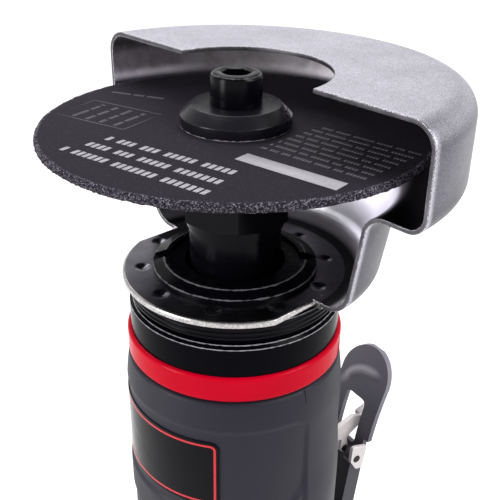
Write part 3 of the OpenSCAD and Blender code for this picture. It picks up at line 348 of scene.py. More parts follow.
def skin(name, body, coats, sharp=35.0):
    """One piece on a body from grids of points, given as {finish: [rows x columns x 3, ...]}.

    Each cell of a grid is a face, unless one of its corners isn't a number. Equal points are merged and
    the faces turned outwards.
    """
    points, faces, coat_of = [], [], []
    for coat, grids in enumerate(coats.values()):
        for grid in grids:
            rows, columns = grid.shape[:2]
            corner = sum(map(len, points)) + np.arange(rows * columns).reshape(rows, columns)
            cells = np.stack([corner[:-1, :-1], corner[:-1, 1:], corner[1:, 1:], corner[1:, :-1]], -1)
            points.append(grid.reshape(-1, 3))
            faces.append(cells.reshape(-1, 4))
            coat_of.append(np.full(len(faces[-1]), coat))
    points, faces, coat_of = map(np.concatenate, (points, faces, coat_of))
    whole = np.isfinite(points).all(1)[faces].all(1)
    used, corners = np.unique(faces[whole], return_inverse=True)
    mesh = bpy.data.meshes.new(name)
    mesh.from_pydata(points[used].tolist(), [], corners.reshape(-1, 4).tolist())
    for finish in coats:
        mesh.materials.append(finish)
    mesh.polygons.foreach_set("material_index", coat_of[whole].astype(np.int32))
    shape = bmesh.new()
    shape.from_mesh(mesh)
    bmesh.ops.remove_doubles(shape, verts=shape.verts, dist=1e-6)
    bmesh.ops.recalc_face_normals(shape, faces=shape.faces)
    shape.to_mesh(mesh)
    shape.free()
    mesh.polygons.foreach_set("use_smooth", np.ones(len(mesh.polygons), bool))
    mesh.set_sharp_from_angle(angle=np.radians(sharp))
    piece = bpy.data.objects.new(name, mesh)
    bpy.context.collection.objects.link(piece)
    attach(piece, body)
    return piece


def rim_strips(front, back):
    """The two strips that join grids of one size along their first and last rows."""
    return [np.stack([front[edge], back[edge]]) for edge in (0, -1)]


def side_strips(front, back):
    """The same along their first and last columns."""
    return rim_strips(front.swapaxes(0, 1), back.swapaxes(0, 1))


def lines(*stretches):
    """Grid lines from (from, to, count) stretches, sorted, without doubles closer than a micron."""
    every = np.concatenate([np.linspace(*stretch) for stretch in stretches])
    return np.unique(np.round(every, 6))


def frame_loop(across, along):
    """The closed loop of grid points round a block of grid lines."""
    ends, sides = np.ones(len(along)), np.ones(len(across))
    return (np.concatenate([across, across[-1] * ends, across[::-1], across[0] * ends]),
            np.concatenate([along[0] * sides, along, along[-1] * sides, along[::-1]]))


def within(values, low, high, slack):
    """True from low to high, with that much slack at both ends."""
    return (values > low - slack) & (values < high + slack)


tiny, fine_arc = 2e-6, 0.07
window_angle = np.round(np.arcsin(window_half / grip_r), 6)
hole_angle = np.round(np.arcsin(hole_frame / panel_r), 6)
grip_angles = lines((-np.pi, np.pi, 241), (-window_angle, window_angle, 9), (0.0, 0.0, 1),
                    (panel_edge - fine_arc, panel_edge + fine_arc, 37),
                    (-panel_edge - fine_arc, -panel_edge + fine_arc, 37),
                    (np.pi - hole_angle, np.pi, 9), (-np.pi, hole_angle - np.pi, 9))
hole_levels = (np.round(hole_level - hole_frame, 6), np.round(hole_level + hole_frame, 6))
grip_levels = lines((grip_foot, grip_foot + grip_edge, 7), (grip_foot, grip_top, 61), (*window_levels, 9),
                    (low_panel[0] - mm, low_panel[0] + mm, 8), (low_panel[1] - mm, low_panel[1] + mm, 8),
                    (label_panel[0] - mm, label_panel[0] + mm, 8),
                    (label_panel[1] - mm, label_panel[1] + 6 * mm, 26),
                    (grip_top - grip_edge, grip_top, 7), (*hole_levels, 13))
angle, level = np.meshgrid(grip_angles, grip_levels)
in_window = within(angle, -window_angle, window_angle, -tiny) & within(level, *window_levels, -tiny)
in_hole = (within(np.pi - np.abs(angle), -hole_angle, hole_angle, -tiny)
           & within(level, *hole_levels, -tiny))
outside = wrap(angle, level, grip_radius(angle, level))
inside = wrap(angle, level, grip_bore)
outside[in_window | in_hole] = np.nan
inside[in_window | in_hole] = np.nan

window_loop = frame_loop(grip_angles[within(grip_angles, -window_angle, window_angle, tiny)],
                         grip_levels[within(grip_levels, *window_levels, tiny)])
window_wall = np.stack([wrap(*window_loop, grip_radius(*window_loop)), wrap(*window_loop, grip_bore)])

# The regulator's hole: rows drawn in from a square frame of grid lines to the round edge.
back_angles = np.mod(grip_angles[np.abs(grip_angles) > np.pi - hole_angle - tiny], 2 * np.pi)
hole_loop = frame_loop(np.unique(np.round(back_angles, 6)),
                       grip_levels[within(grip_levels, *hole_levels, tiny)])
turn = np.arctan2((hole_loop[1] - hole_level), (hole_loop[0] - np.pi) * panel_r)
closeness = np.linspace(0.0, 1.0, 6)[:, None]
hole_angles = hole_loop[0] + closeness * (np.pi + hole_r * np.cos(turn) / panel_r - hole_loop[0])
hole_rows = hole_loop[1] + closeness * (hole_level + hole_r * np.sin(turn) - hole_loop[1])
signed = np.where(hole_angles > np.pi, hole_angles - 2 * np.pi, hole_angles)
hole_outside = wrap(hole_angles, hole_rows, grip_radius(signed, hole_rows))
hole_inside = wrap(hole_angles, hole_rows, grip_bore)
hole_wall = np.stack([hole_outside[-1], hole_inside[-1]])

grip_nylon = grained_finish("grip nylon", (0.0125, 0.0112, 0.0195), (0.0165, 0.015, 0.025), 0.5,
                            specular=0.22, scale=2600.0, broad=45.0, strength=0.35, depth=2.5e-5)
grip = skin("grip", "body", {grip_nylon: [
    outside, inside, window_wall, hole_outside, hole_inside, hole_wall, *rim_strips(outside, inside)]})
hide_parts("grip_sleeve")


# LABEL PLATE
# A glossy black plate is stuck in the upper back panel. It is bare inside its printed red border.
label_half = np.radians(50.5)
label_low, label_high = 113.85 * mm, 130.95 * mm
label_corner, least_corner = 2.0 * mm, 0.2 * mm
label_t, label_sunk = 0.25 * mm, 0.05 * mm
label_rings, label_points = 12, 240
border_in, border_w, border_t = 0.7 * mm, 0.5 * mm, 0.03 * mm
label_r = panel_r + label_t


def run_along(path):
    """Length along a path to each of its points."""
    return np.concatenate([[0], np.cumsum(np.hypot(*np.diff(path, axis=0).T))])


def evenly(path, count):
    """The path with count more points spaced evenly along it, and the length to each point."""
    run = run_along(path)
    dense = np.union1d(run, np.linspace(0, run[-1], count))
    return np.stack([np.interp(dense, run, column) for column in path.T], -1), dense


def label_loop(inset):
    """The label's outline drawn in by an inset: a rectangle with round corners, closed."""
    corner = max(label_corner - inset, least_corner)
    half = np.array([label_half * panel_r, (label_high - label_low) / 2]) - inset - corner
    turns = np.linspace(0, np.pi / 2, 9) + np.pi / 2 * np.arange(4)[:, None]
    middles = np.array([(1, 1), (-1, 1), (-1, -1), (1, -1)]) * half
    loop = (middles[:, None] + corner * np.stack([np.cos(turns), np.sin(turns)], -1)).reshape(-1, 2)
    return evenly(np.concatenate([loop, loop[:1]]), label_points)[0]


def bent_strip(loops, radii):
    """Loops of (arc length, height) laid round the back of the grip, each at its own radius."""
    middle = (label_low + label_high) / 2
    return np.stack([wrap(np.pi + loop[:, 0] / panel_r, middle + loop[:, 1], radius)
                     for loop, radius in zip(loops, radii)])


gloss_black = grained_finish("label gloss", (0.002, 0.0015, 0.003), (0.003, 0.002, 0.004), 0.1,
                             specular=0.08, scale=400.0, broad=50.0, strength=0.05, depth=2e-5)
label_edge = label_loop(0.0)
label_loops = [label_edge * size for size in np.linspace(1.0, 0.0, label_rings)]
label_face = bent_strip(label_loops, np.full(label_rings, label_r))
label_back = bent_strip(label_loops, np.full(label_rings, panel_r - label_sunk))
label = skin("label_plate", "body", {gloss_black: [
    label_face, label_back, np.stack([label_face[0], label_back[0]])]})

border_red = grained_finish("border red", (0.55, 0.010, 0.022), (0.62, 0.012, 0.026), 0.35, scale=4000.0)
border_loops = [label_loop(border_in + border_w * step) for step in (0.0, 0.0, 1.0, 1.0, 0.0)]
border = skin("label_border", "body", {border_red: [bent_strip(
    border_loops, label_r + border_t * np.array([-1.0, 1.0, 1.0, -1.0, -1.0]))]})


# LEVER AND LATCH
# The lever is pressed from sheet and finished dark satin. It turns on a pin in the barrel's lugs, and a
# zinc-plated latch on its own pin stops it until the finger pushes the latch forward.
lever_pin, lever_lean = np.array([23.5, 0.0, 40.0]) * mm, np.radians(7.4)


def on_lever(out, up, across):
    """Points in the lever's own directions at rest: out and up from its pin, and across."""
    out, up, across = np.broadcast_arrays(out, up, across)
    return lever_pin + np.stack([out * np.cos(lever_lean) + up * np.sin(lever_lean), across,
                                 up * np.cos(lever_lean) - out * np.sin(lever_lean)], -1)


def grain_in(finish, scale, broad, rough, strength, depth):
    """Fine grain in a material's roughness and bump, and its outputs for the colours."""
    grain = use_effect(finish, fine_grain, Scale=scale, Broad=broad)
    link(finish, Roughness=spread(finish, grain["Tone"], *rough))
    bump(finish, grain["Height"], strength, depth)
    return grain


# Lever satin: dark, with painted light that makes it paler towards its upper end, and a painted highlight
# along the rib's upper side.
lit_end_from, lit_end_to = 92 * mm, 114 * mm
rib_r, rib_mid_up, rib_mid_across = 9.1 * mm, 68.6 * mm, -2.6 * mm
rib_mid = on_lever(6.2 * mm, rib_mid_up, rib_mid_across)
# Painted highlight: a pale arc on the rib's upper side, rising along this direction.
highlight_way = np.array([0.83 * np.sin(lever_lean), 0.558, 0.83 * np.cos(lever_lean)])
highlight_from = rib_mid @ highlight_way + 5.4 * mm
highlight_whole = rib_mid @ highlight_way + 8.4 * mm
lever_satin = plain_finish("lever satin", (0.036, 0.034, 0.047), 0.38, specular=0.3)
tree = lever_satin.node_tree
grain_in(lever_satin, scale=4200.0, broad=120.0, rough=(0.30, 0.46), strength=1.0, depth=1e-5)
place, _, level = polar(tree)
from_mid = reckon(tree, "DISTANCE", place, tuple(rib_mid), kind="VectorMath")
off_rib = reckon(tree, "ABSOLUTE", reckon(tree, "SUBTRACT", from_mid, rib_r))
rise = reckon(tree, "DOT_PRODUCT", place, tuple(highlight_way), kind="VectorMath")
painted_rib_highlight = reckon(tree, "MULTIPLY", ramp(tree, off_rib, 0.2 * mm, 1.8 * mm, 1.0, 0.0),
                ramp(tree, rise, highlight_from, highlight_whole))
# Painted light: paler towards the upper end, where light falls on the lever.
painted_end_light = ramp(tree, level, lit_end_from, lit_end_to, smooth=False)
toned = blend_colour(lever_satin, painted_end_light, (0.22, 0.21, 0.255))
blend_colour(lever_satin, painted_rib_highlight, (0.52, 0.50, 0.56), toned)
dress(lever_satin, "throttle_lever")
dress(pin_steel, "lever_pin")

# The rib is pressed into the lever above its slot: a low arc that runs out at both ends. It stands on
# the inner face, which the lever's flare bends to a circle, given by its radius and middle.
rib_h, rib_half, rib_sunk, rib_root, rib_fade = 0.45 * mm, 1.9 * mm, 0.05 * mm, 0.3 * mm, 0.4
flare_r, flare_up, flare_out = 88.7 * mm, 54.66 * mm, 93.45 * mm
rib_turn = np.radians(np.linspace(-22.0, 70.0, 61))
rib_share = np.linspace(-1.0, 1.0, 15)[:, None]
rib_up = rib_mid_up + (rib_r + rib_half * rib_share) * np.cos(rib_turn)
rib_across = rib_mid_across + (rib_r + rib_half * rib_share) * np.sin(rib_turn)
rib_foot = flare_out - np.sqrt(flare_r ** 2 - (rib_up - flare_up) ** 2)
rib_ends = ease((rib_turn - rib_turn[0]) / rib_fade) * ease((rib_turn[-1] - rib_turn) / rib_fade)
rib_swell = (rib_h + rib_sunk) * rib_ends * np.cos(rib_share * np.pi / 2) ** 2
rib_top = on_lever(rib_foot + rib_sunk - rib_swell, rib_up, rib_across)
rib_base = on_lever(rib_foot + rib_root, rib_up, rib_across)
rib = skin("lever_rib", "lever", {lever_satin: [
    rib_top, rib_base, *rim_strips(rib_top, rib_base), *side_strips(rib_top, rib_base)]})


def softened(corners, radii, steps=8):
    """A profile of (radius, level) corners whose inner corners become arcs of these radii."""
    corners = np.array(corners, float)
    share = np.linspace(0, 1, steps + 1)[:, None]
    parts = [corners[:1]]
    for before, corner, after, radius in zip(corners, corners[1:], corners[2:], radii):
        u = (before - corner) / np.linalg.norm(before - corner)
        v = (after - corner) / np.linalg.norm(after - corner)
        half = np.arccos(np.clip(u @ v, -1, 1)) / 2
        middle = corner + (u + v) / np.linalg.norm(u + v) * radius / np.sin(half)
        start = np.arctan2(*(corner + u * radius / np.tan(half) - middle)[::-1])
        end = np.arctan2(*(corner + v * radius / np.tan(half) - middle)[::-1])
        turn = start + ((end - start + np.pi) % (2 * np.pi) - np.pi) * share
        parts.append(middle + radius * np.concatenate([np.cos(turn), np.sin(turn)], 1))
    return np.concatenate(parts + [corners[-1:]])


def stamped(corners, middle, span, corner_r):
    """A plate stamped to (out, up) corners round the latch's pin, over a span across the lever, in mm.

    Its outline is drawn in towards the middle on both sides, which closes them and breaks the edges.
    """
    corners, middle, (low, high) = np.array(corners) * mm, np.array(middle) * mm, np.array(span) * mm
    start = (corners[0] + corners[-1]) / 2
    outline = softened([start, *corners, start], [corner_r * mm] * len(corners), steps=4) - middle
    drawn_in = 1 - stamp_break / np.hypot(*outline.T).mean()
    size = np.array([0.0, drawn_in, 1.0, 1.0, drawn_in, 0.0])[:, None]
    across = np.array([low, low, low + stamp_break, high - stamp_break, high, high])[:, None]
    out, up = (latch_pin + middle)[:, None, None] + outline.T[:, None] * size
    return on_lever(out, up, across)


latch_pin, stamp_break = np.array([2.4, 56.0]) * mm, 0.15 * mm
cam = [(5.1, 9.0), (1.0, 9.9), (-5.6, 6.8), (-5.6, 3.4), (-1.7, 3.2), (-1.5, -0.4), (0.0, -1.6),
       (1.3, -0.4), (0.2, 2.9), (1.1, 4.4), (3.2, 6.1), (5.1, 7.2)]
finger_tab = [(4.7, 7.6), (8.2, 9.2), (7.8, 10.2), (4.7, 8.8)]
ear = [(-2.2, 4.2), (3.0, 3.4), (2.6, -4.0), (0.5, -3.6), (-1.9, -0.6)]
latch_plates = [(cam, (0.0, 4.5), (-3.0, -1.8), 0.4), (finger_tab, (6.4, 8.9), (-4.6, 0.4), 0.2),
                (ear, (0.5, 0.0), (-8.0, -7.0), 0.8), (ear, (0.5, 0.0), (7.0, 8.0), 0.8)]
latch_zinc = grained_finish("latch zinc", (0.68, 0.63, 0.63), (0.76, 0.71, 0.71), 0.45, 0.15,
                            scale=2600.0, broad=220.0, strength=0.2, depth=1e-5)
latch = skin("latch_plates", "latch", {latch_zinc: [stamped(*plate) for plate in latch_plates]})
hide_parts("safety_latch")
dress(turned_finish("latch pin oxide", (0.02, 0.02, 0.022), 0.35, 1.0), "latch_pin")
dress(spring_wire, "latch_spring")


# GUARD SEAT
# The retainer screws into the nose and carries the guard. The grooved seat ring under the guard's plate
# is black anodised, and the bevelled clamp nut above it is blackened steel with painted highlights along
# its edges.
seat_r, seat_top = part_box("guard_seat_ring")[1].x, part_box("guard_seat_ring")[1].z
seat_anodising = turned_finish("seat anodising", (0.002, 0.0017, 0.0034), 0.2, 0.0, specular=0.07,
                               edges=[(seat_r, seat_top, 0.12 * mm)])
dress(seat_anodising, "guard_seat_ring")
nut_r, nut_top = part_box("guard_clamp_nut")[1].x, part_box("guard_clamp_nut")[1].z
nut_rim_h, nut_flat_r = 0.9 * mm, 14.8 * mm
nut_glints = [(nut_flat_r, nut_top, 0.25 * mm), (nut_r, nut_top - nut_rim_h, 0.25 * mm)]
clamp_oxide = turned_finish("clamp oxide", (0.002, 0.0018, 0.0034), 0.26, 0.0, specular=0.08,
                            edges=nut_glints, edge_colour=(0.16, 0.16, 0.17))
dress(clamp_oxide, "front_retainer", "guard_clamp_nut")


# WHEEL GUARD
# The guard is pressed from one steel sheet: a rounded C round the wheel, a conical neck and a ring plate
# that is clamped under the nut. The press leaves a fine grain, and the cut edges are broken and thin.
guard_low, guard_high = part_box("wheel_guard")
guard_turn = np.radians(9.6)
guard_t, guard_chord = 0.9 * mm, 1.4 * mm
cut_break, cut_steps, thinnest = 0.14 * mm, 4, 0.02 * mm
section_step, sheet_columns = 1.2 * mm, 181
plate_low, plate_top = guard_low.z, guard_low.z + 1.5 * mm
guard_mouth, plate_r, plate_bore, rim_round = 18.2 * mm, 23.5 * mm, 13.9 * mm, 0.5 * mm
wheel_low, wheel_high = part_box("cutting_wheel")
guard_floor = wheel_high.z - 9.0 * mm
neck_top_r, neck_foot_r = 32.3 * mm, 28.9 * mm
upper_bend, lower_bend, neck_bend, foot_bend = 4.4 * mm, 3.3 * mm, 4.2 * mm, 5.5 * mm

# The middle of the sheet as a section of (radius, level), from the mouth over the wheel to the plate.
wall_r, wall_lean = guard_high.y - guard_t / 2, 0.1 * mm
guard_path = softened(
    [(guard_mouth, guard_high.z - guard_t / 2), (wall_r - wall_lean, guard_high.z - guard_t / 2),
     (wall_r, guard_floor + guard_t / 2), (neck_top_r, guard_floor + guard_t / 2),
     (neck_foot_r, plate_top - guard_t / 2), (plate_r - rim_round, plate_top - guard_t / 2)],
    [upper_bend, lower_bend, neck_bend, foot_bend], steps=14)
section, along = evenly(guard_path, int(run_along(guard_path)[-1] / section_step))
cut_turn = np.linspace(0, np.pi / 2, cut_steps + 1)
mouth_rows = cut_break * (1 - np.cos(cut_turn))
extra = np.stack([np.interp(mouth_rows, along, column) for column in section.T], -1)
section = np.concatenate([extra, section[along > cut_break]])
along = np.concatenate([mouth_rows, along[along > cut_break]])
heading = np.gradient(section, axis=0)
heading /= np.linalg.norm(heading, axis=1, keepdims=True)
normal = np.stack([-heading[:, 1], heading[:, 0]], -1)
into = np.clip(1 - along / cut_break, 0, 1)
half_t = guard_t / 2 - cut_break * (1 - np.sqrt(1 - into ** 2))

# Columns run from one cut edge to the other; the last few round the edge off and thin the sheet.
edge_in = cut_break * (1 - np.sin(cut_turn[1:]))
edge_thin = cut_break * (1 - np.cos(cut_turn[1:]))
column_x = guard_chord + np.concatenate([edge_in[::-1], np.full(sheet_columns, cut_break), edge_in])
column_share = np.concatenate([-np.ones(cut_steps), np.linspace(-1, 1, sheet_columns), np.ones(cut_steps)])
column_thin = np.concatenate([edge_thin[::-1], np.zeros(sheet_columns), edge_thin])


def guard_side(side):
    """One face of the sheet: its section moved out by half the thickness, turned from cut to cut."""
    reach = side * np.maximum(half_t[:, None] - column_thin, thinnest)
    radius = section[:, :1] + normal[:, :1] * reach
    level = section[:, 1:] + normal[:, 1:] * reach
    return wrap(guard_turn + column_share * np.arccos(column_x / radius), level, radius)


# Guard steel: paler on top, with painted shade down the wall and the neck and more painted shade
# towards the bottom, a painted highlight along the cut, and a sparkling grain and faint scuffs.
guard_steel = plain_finish("guard steel", (0.54, 0.525, 0.60), 0.36, 1.0)
tree = guard_steel.node_tree
grain = grain_in(guard_steel, scale=5200.0, broad=70.0, rough=(0.26, 0.46), strength=0.6, depth=3e-5)
place, _, level = polar(tree)
cut_way = (np.cos(guard_turn), np.sin(guard_turn), 0.0)
from_cut = reckon(tree, "DOT_PRODUCT", place, cut_way, kind="VectorMath")
# Painted shade: darker below the top bend, down the wall and the neck.
painted_wall_shade = ramp(tree, level, guard_high.z - upper_bend, guard_high.z, 1.0, 0.0)
# More painted shade towards the bottom of the wall.
lower = ramp(tree, level, guard_floor, guard_floor + 9 * mm, 1.0, 0.0)
# Painted highlight: paler within a couple of millimetres of the cut.
painted_cut_highlight = ramp(tree, from_cut, guard_chord, guard_chord + 1.8 * mm, 0.85, 0.0)
toned = blend_colour(guard_steel, painted_wall_shade, (0.15, 0.144, 0.172))
toned = blend_colour(guard_steel, lower, (0.082, 0.078, 0.096), toned)
toned = blend_colour(guard_steel, painted_cut_highlight, (0.60, 0.585, 0.66), toned)
sparkle = ramp(tree, grain["Height"], 0.36, 0.64, 0.58, 1.42, smooth=False)
scuffs = ramp(tree, grain["Tone"], 0.36, 0.64, 1.06, 0.84, smooth=False)
shine = reckon(tree, "MULTIPLY", sparkle, scuffs)
shone = add(tree, "Mix", {0: 1.0, 6: toned, 7: shine}, data_type="RGBA", blend_type="MULTIPLY")
link(guard_steel, Base_Color=shone.outputs[2])

# Guard inside: painted light on the neck's slope and on the wall above the wheel, which has stains, and
# painted shade between.
# Painted shade: the dark base colour.
inner_steel = plain_finish("guard inside", (0.035, 0.033, 0.041), 0.36, 1.0)
tree = inner_steel.node_tree
grain = grain_in(inner_steel, scale=3600.0, broad=150.0, rough=(0.26, 0.46), strength=0.4, depth=2e-5)
_, radius, level = polar(tree)
# Painted light on the neck's slope.
neck = reckon(tree, "MULTIPLY", ramp(tree, radius, neck_foot_r - 4.0 * mm, neck_foot_r - 2.0 * mm),
              ramp(tree, radius, neck_top_r, neck_top_r + 2.5 * mm, 1.0, 0.0))
# Painted light on the wall above the wheel.
above = ramp(tree, level, wheel_low.z, wheel_high.z + mm)
stains = ramp(tree, grain["Tone"], 0.42, 0.62, 0.0, 0.6, smooth=False)
toned = blend_colour(inner_steel, neck, (0.77, 0.755, 0.805))
toned = blend_colour(inner_steel, above, (0.86, 0.81, 0.87), toned)
blend_colour(inner_steel, reckon(tree, "MULTIPLY", stains, above), (0.30, 0.25, 0.29), toned)

# The cut faces and the rounded edges beside them are painted dark as shade along the cut, and the burr
# along them is broken into bright specks.
cut_steel = grained_finish("guard cut face", (0.06, 0.058, 0.064), (0.13, 0.126, 0.138), 0.5, 1.0,
                           scale=2200.0, broad=400.0, strength=0.4, depth=3e-5)
burr_steel = plain_finish("guard burr", (0.10, 0.096, 0.106), 0.4, 1.0)
grain = grain_in(burr_steel, scale=4800.0, broad=300.0, rough=(0.3, 0.5), strength=0.5, depth=4e-5)
bright = ramp(burr_steel.node_tree, grain["Height"], 0.47, 0.60, smooth=False)
blend_colour(burr_steel, bright, (0.60, 0.585, 0.63))


def burr_of(face):
    """The rows and columns of one face that round off its cut edges."""
    return [face[:cut_steps + 1], face[cut_steps:, :cut_steps + 1], face[cut_steps:, -cut_steps - 1:]]


outer_face, inner_face = guard_side(1.0), guard_side(-1.0)
between_cuts = np.s_[cut_steps:, cut_steps:-cut_steps]
guard = skin("guard_shell", "guard", {
    guard_steel: [outer_face[between_cuts]], inner_steel: [inner_face[between_cuts]],
    burr_steel: burr_of(outer_face) + burr_of(inner_face),
    cut_steel: side_strips(outer_face, inner_face) + rim_strips(outer_face, inner_face)}, sharp=50.0)

# The ring plate: a ring with a rounded rim, two flats beside the neck and dimples punched round it.
flat_half, step_fine = 21.6 * mm, 0.004
dimple_ring, dimple_r, dimple_depth, dimple_count = 19.3 * mm, 1.8 * mm, 0.5 * mm, 10
step_angle = np.arccos(guard_chord / plate_r)
plate_angle = lines((-np.pi, np.pi, 541), (step_angle - step_fine, step_angle + step_fine, 3),
                    (-step_angle - step_fine, -step_angle + step_fine, 3))
rim_r = np.where(np.cos(plate_angle) * plate_r < guard_chord,
                 np.minimum(plate_r, flat_half / np.maximum(np.abs(np.sin(plate_angle)), 1e-6)), plate_r)
rim_turn = np.linspace(0, np.pi / 2, 6)
ring_share = np.linspace(0, 1, 30)[:, None]
face_r = plate_bore + (rim_r - rim_round - plate_bore) * ring_share
dimple_pitch = 2 * np.pi / dimple_count
off_angle = plate_angle - np.round(plate_angle / dimple_pitch) * dimple_pitch
off_dimple = np.hypot(face_r * np.cos(off_angle) - dimple_ring, face_r * np.sin(off_angle))
face_level = plate_top - dimple_depth * ease(1 - off_dimple / dimple_r)
side_r = rim_r - rim_round * (1 - np.sin(np.concatenate([rim_turn, np.pi - rim_turn[::-1]])))[:, None]
side_level = np.concatenate([plate_top - rim_round * (1 - np.cos(rim_turn)),
                             plate_low + rim_round * (1 - np.cos(rim_turn[::-1]))])[:, None]
ring_steel = grained_finish("ring plate steel", (0.17, 0.165, 0.19), (0.27, 0.26, 0.30), 0.24, 1.0,
                            scale=2600.0, broad=260.0, strength=0.35, depth=2e-5)
rim_steel = grained_finish("plate rim steel", (0.26, 0.25, 0.255), (0.68, 0.66, 0.65), 0.3, 1.0,
                           scale=2600.0, broad=2200.0, strength=0.5, depth=4e-5)
turned = plate_angle + guard_turn
plate_face = wrap(turned, face_level, face_r)
plate_side = wrap(turned, side_level, side_r)
plate_under = np.stack([plate_side[-1], wrap(turned, plate_low, plate_bore)])
ring_plate = skin("guard_ring_plate", "guard", {
    ring_steel: [plate_face, plate_under, np.stack([plate_under[-1], plate_face[0]])],
    rim_steel: [plate_side]})
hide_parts("wheel_guard")


# SPINDLE HUB
# The hub is turned from hexagon bar, blackened, and screwed on the rotor's end. Its flange carries the
# wheel.
dress(turned_finish("hub oxide", (0.002, 0.0018, 0.0034), 0.18, 0.0, specular=0.08), "spindle_hub")


# CUT-OFF WHEEL
# The wheel is dark abrasive grit bonded with resin round glass cloth. Its rim is broken grain by grain,
# and its face is printed: here only ruled bars stand where a maker puts words.
wheel_r, wheel_face, wheel_back = wheel_high.x, wheel_high.z, wheel_low.z
wheel_columns, rim_rows = 960, 8
chew, edge_fall, edge_shift = 0.45 * mm, 0.22 * mm, 0.05 * mm
face_grit, grit_from = 0.03 * mm, 33 * mm
seed = np.random.default_rng(11)
grit = seed.random((rim_rows, wheel_columns))
grit = (grit + np.roll(grit, 1, axis=1) + 0.6 * np.roll(grit, 1, axis=0)) / 2.6
rim_share = np.linspace(0, 1, rim_rows)[:, None]
rim_side = 2 * rim_share - 1
wheel_rim_r = wheel_r - edge_fall * np.abs(rim_side) ** 4 - chew * grit
wheel_rim_z = wheel_back + (wheel_face - wheel_back) * rim_share - edge_shift * rim_side * grit
ring_radii = np.array([4.75, 10.0, 16.0, 22.0, 27.0, 31.0, 34.0, 36.0, 37.0])[:, None] * mm
ring_grit = seed.random((len(ring_radii), wheel_columns)) * face_grit * (ring_radii > grit_from)
ring_r = np.broadcast_to(ring_radii, ring_grit.shape)
wheel_rows_r = np.concatenate([ring_r, wheel_rim_r, ring_r[::-1], ring_r[:1]])
wheel_rows_z = np.concatenate([wheel_back + ring_grit, wheel_rim_z, wheel_face - ring_grit[::-1],
                               wheel_back + ring_grit[:1]])
wheel_turn = np.linspace(0, 2 * np.pi, wheel_columns + 1)
wheel_rows = np.pad([wheel_rows_z, wheel_rows_r], ((0, 0), (0, 0), (0, 1)), mode="wrap")

# Grit: dark resin with pale grain tips, more of them past a radius where the face ends.
grit_speck, given, gives = effect_group(
    "grit specks", {"Scale": 5200.0, "Rim radius": 0.0372}, ["Mask", "Height"])
place, radius, _ = polar(grit_speck)
cells = add(grit_speck, "TexVoronoi", {"Vector": place, "Scale": given["Scale"]}).outputs["Color"]
tips = add(grit_speck, "SeparateColor", {"Color": cells}).outputs["Red"]
on_rim = reckon(grit_speck, "GREATER_THAN", radius, given["Rim radius"])
few = ramp(grit_speck, on_rim, 0.0, 1.0, 0.94, 0.62, smooth=False)
pale = reckon(grit_speck, "SUBTRACT", tips, few)
pale = reckon(grit_speck, "MULTIPLY", pale, 2.2, use_clamp=True)
grit_speck.links.new(pale, gives["Mask"])
grit_speck.links.new(noise(grit_speck, place, given["Scale"], 4.0, 0.7), gives["Height"])

abrasive = plain_finish("abrasive grit", (0.0175, 0.015, 0.022), 0.75, specular=0.1)
specks = use_effect(abrasive, grit_speck)
blend_colour(abrasive, specks["Mask"], (0.26, 0.24, 0.30))
link(abrasive, Roughness=spread(abrasive, specks["Height"], 0.6, 0.9))
bump(abrasive, specks["Height"], 0.6, 1.2e-4)
wheel = skin("wheel_disc", "spindle", {abrasive: [wrap(wheel_turn, *wheel_rows)]})
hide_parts("cutting_wheel")

# The print: letters are blocks, spaced by a share of their height, and words run to uneven lengths.
print_lift, print_t = 0.02 * mm, 0.02 * mm
letter_pitch, letter_w, word_lengths = 0.72, 0.68, (3, 8)


def bar(start, end, height):
    """A flat bar on the wheel's face from start to end, that high to the right of its run."""
    start, end = np.array(start) * mm, np.array(end) * mm
    run = (end - start) / np.linalg.norm(end - start)
    side = np.array([run[1], -run[0]]) * height * mm
    corners = np.array([[start, end], [start + side, end + side]])
    return np.concatenate([corners, np.full((2, 2, 1), wheel_face + print_lift)], -1)


def word_row(start, end, height):
    """Blocks along one row, in groups of uneven length, as letters stand in words."""
    start, end = np.array(start, float), np.array(end, float)
    length = np.linalg.norm(end - start)
    run = (end - start) / length
    pitch = height * letter_pitch
    spots = np.arange(0.0, length - pitch, pitch)
    spaces = np.cumsum(seed.integers(*word_lengths, len(spots)) + 1) - 1
    return [bar(start + run * spot, start + run * (spot + pitch * letter_w), height)
            for number, spot in enumerate(spots) if number not in spaces]


big_h, small_h, frame_h = 1.9, 0.9, 0.25
big_rows = [((-22.6, -26.4), (-34.6, 4.9)), ((-18.7, -23.9), (-29.8, 4.4)), ((-14.6, -21.6), (-26.0, 6.2))]
bars_big = [piece for start, end in big_rows for piece in word_row(start, end, big_h)]
panel_bar = [bar((-4.1, -35.6), (-10.4, -15.9), 3.6)]
small_from, small_to, small_step = np.array([2.6, -34.6]), np.array([-3.6, -13.4]), np.array([2.25, 0.5])
bars_small = [piece for step in small_step * np.arange(8)[:, None]
              for piece in word_row(small_from + step, small_to + step, small_h)]
box = np.array([(-27.5, 23.6), (-17.0, 28.1), (-9.6, 12.2), (-20.1, 7.7)])
box_margin = np.array([0.9, 0.4])
frame_bars = [bar(start, end, frame_h) for start, end in zip(box, np.roll(box, -1, axis=0))]
box_rows = [piece for share in (0.2, 0.4, 0.6, 0.8)
            for piece in word_row(box[0] * (1 - share) + box[3] * share + box_margin,
                                  box[1] * (1 - share) + box[2] * share - box_margin, small_h)]
side_rows = word_row((-4.7, 21.5), (-12.3, 31.9), small_h)


def print_ink(name, colour):
    """Ink on grit: the pale colour is broken where it missed the grains."""
    ink = plain_finish(name, colour, 0.7, specular=0.2)
    specks = use_effect(ink, grit_speck)
    missed = ramp(ink.node_tree, specks["Height"], 0.56, 0.7, smooth=False)
    blend_colour(ink, missed, (0.05, 0.05, 0.055))
    bump(ink, specks["Height"], 0.5, 8e-5)
    return ink


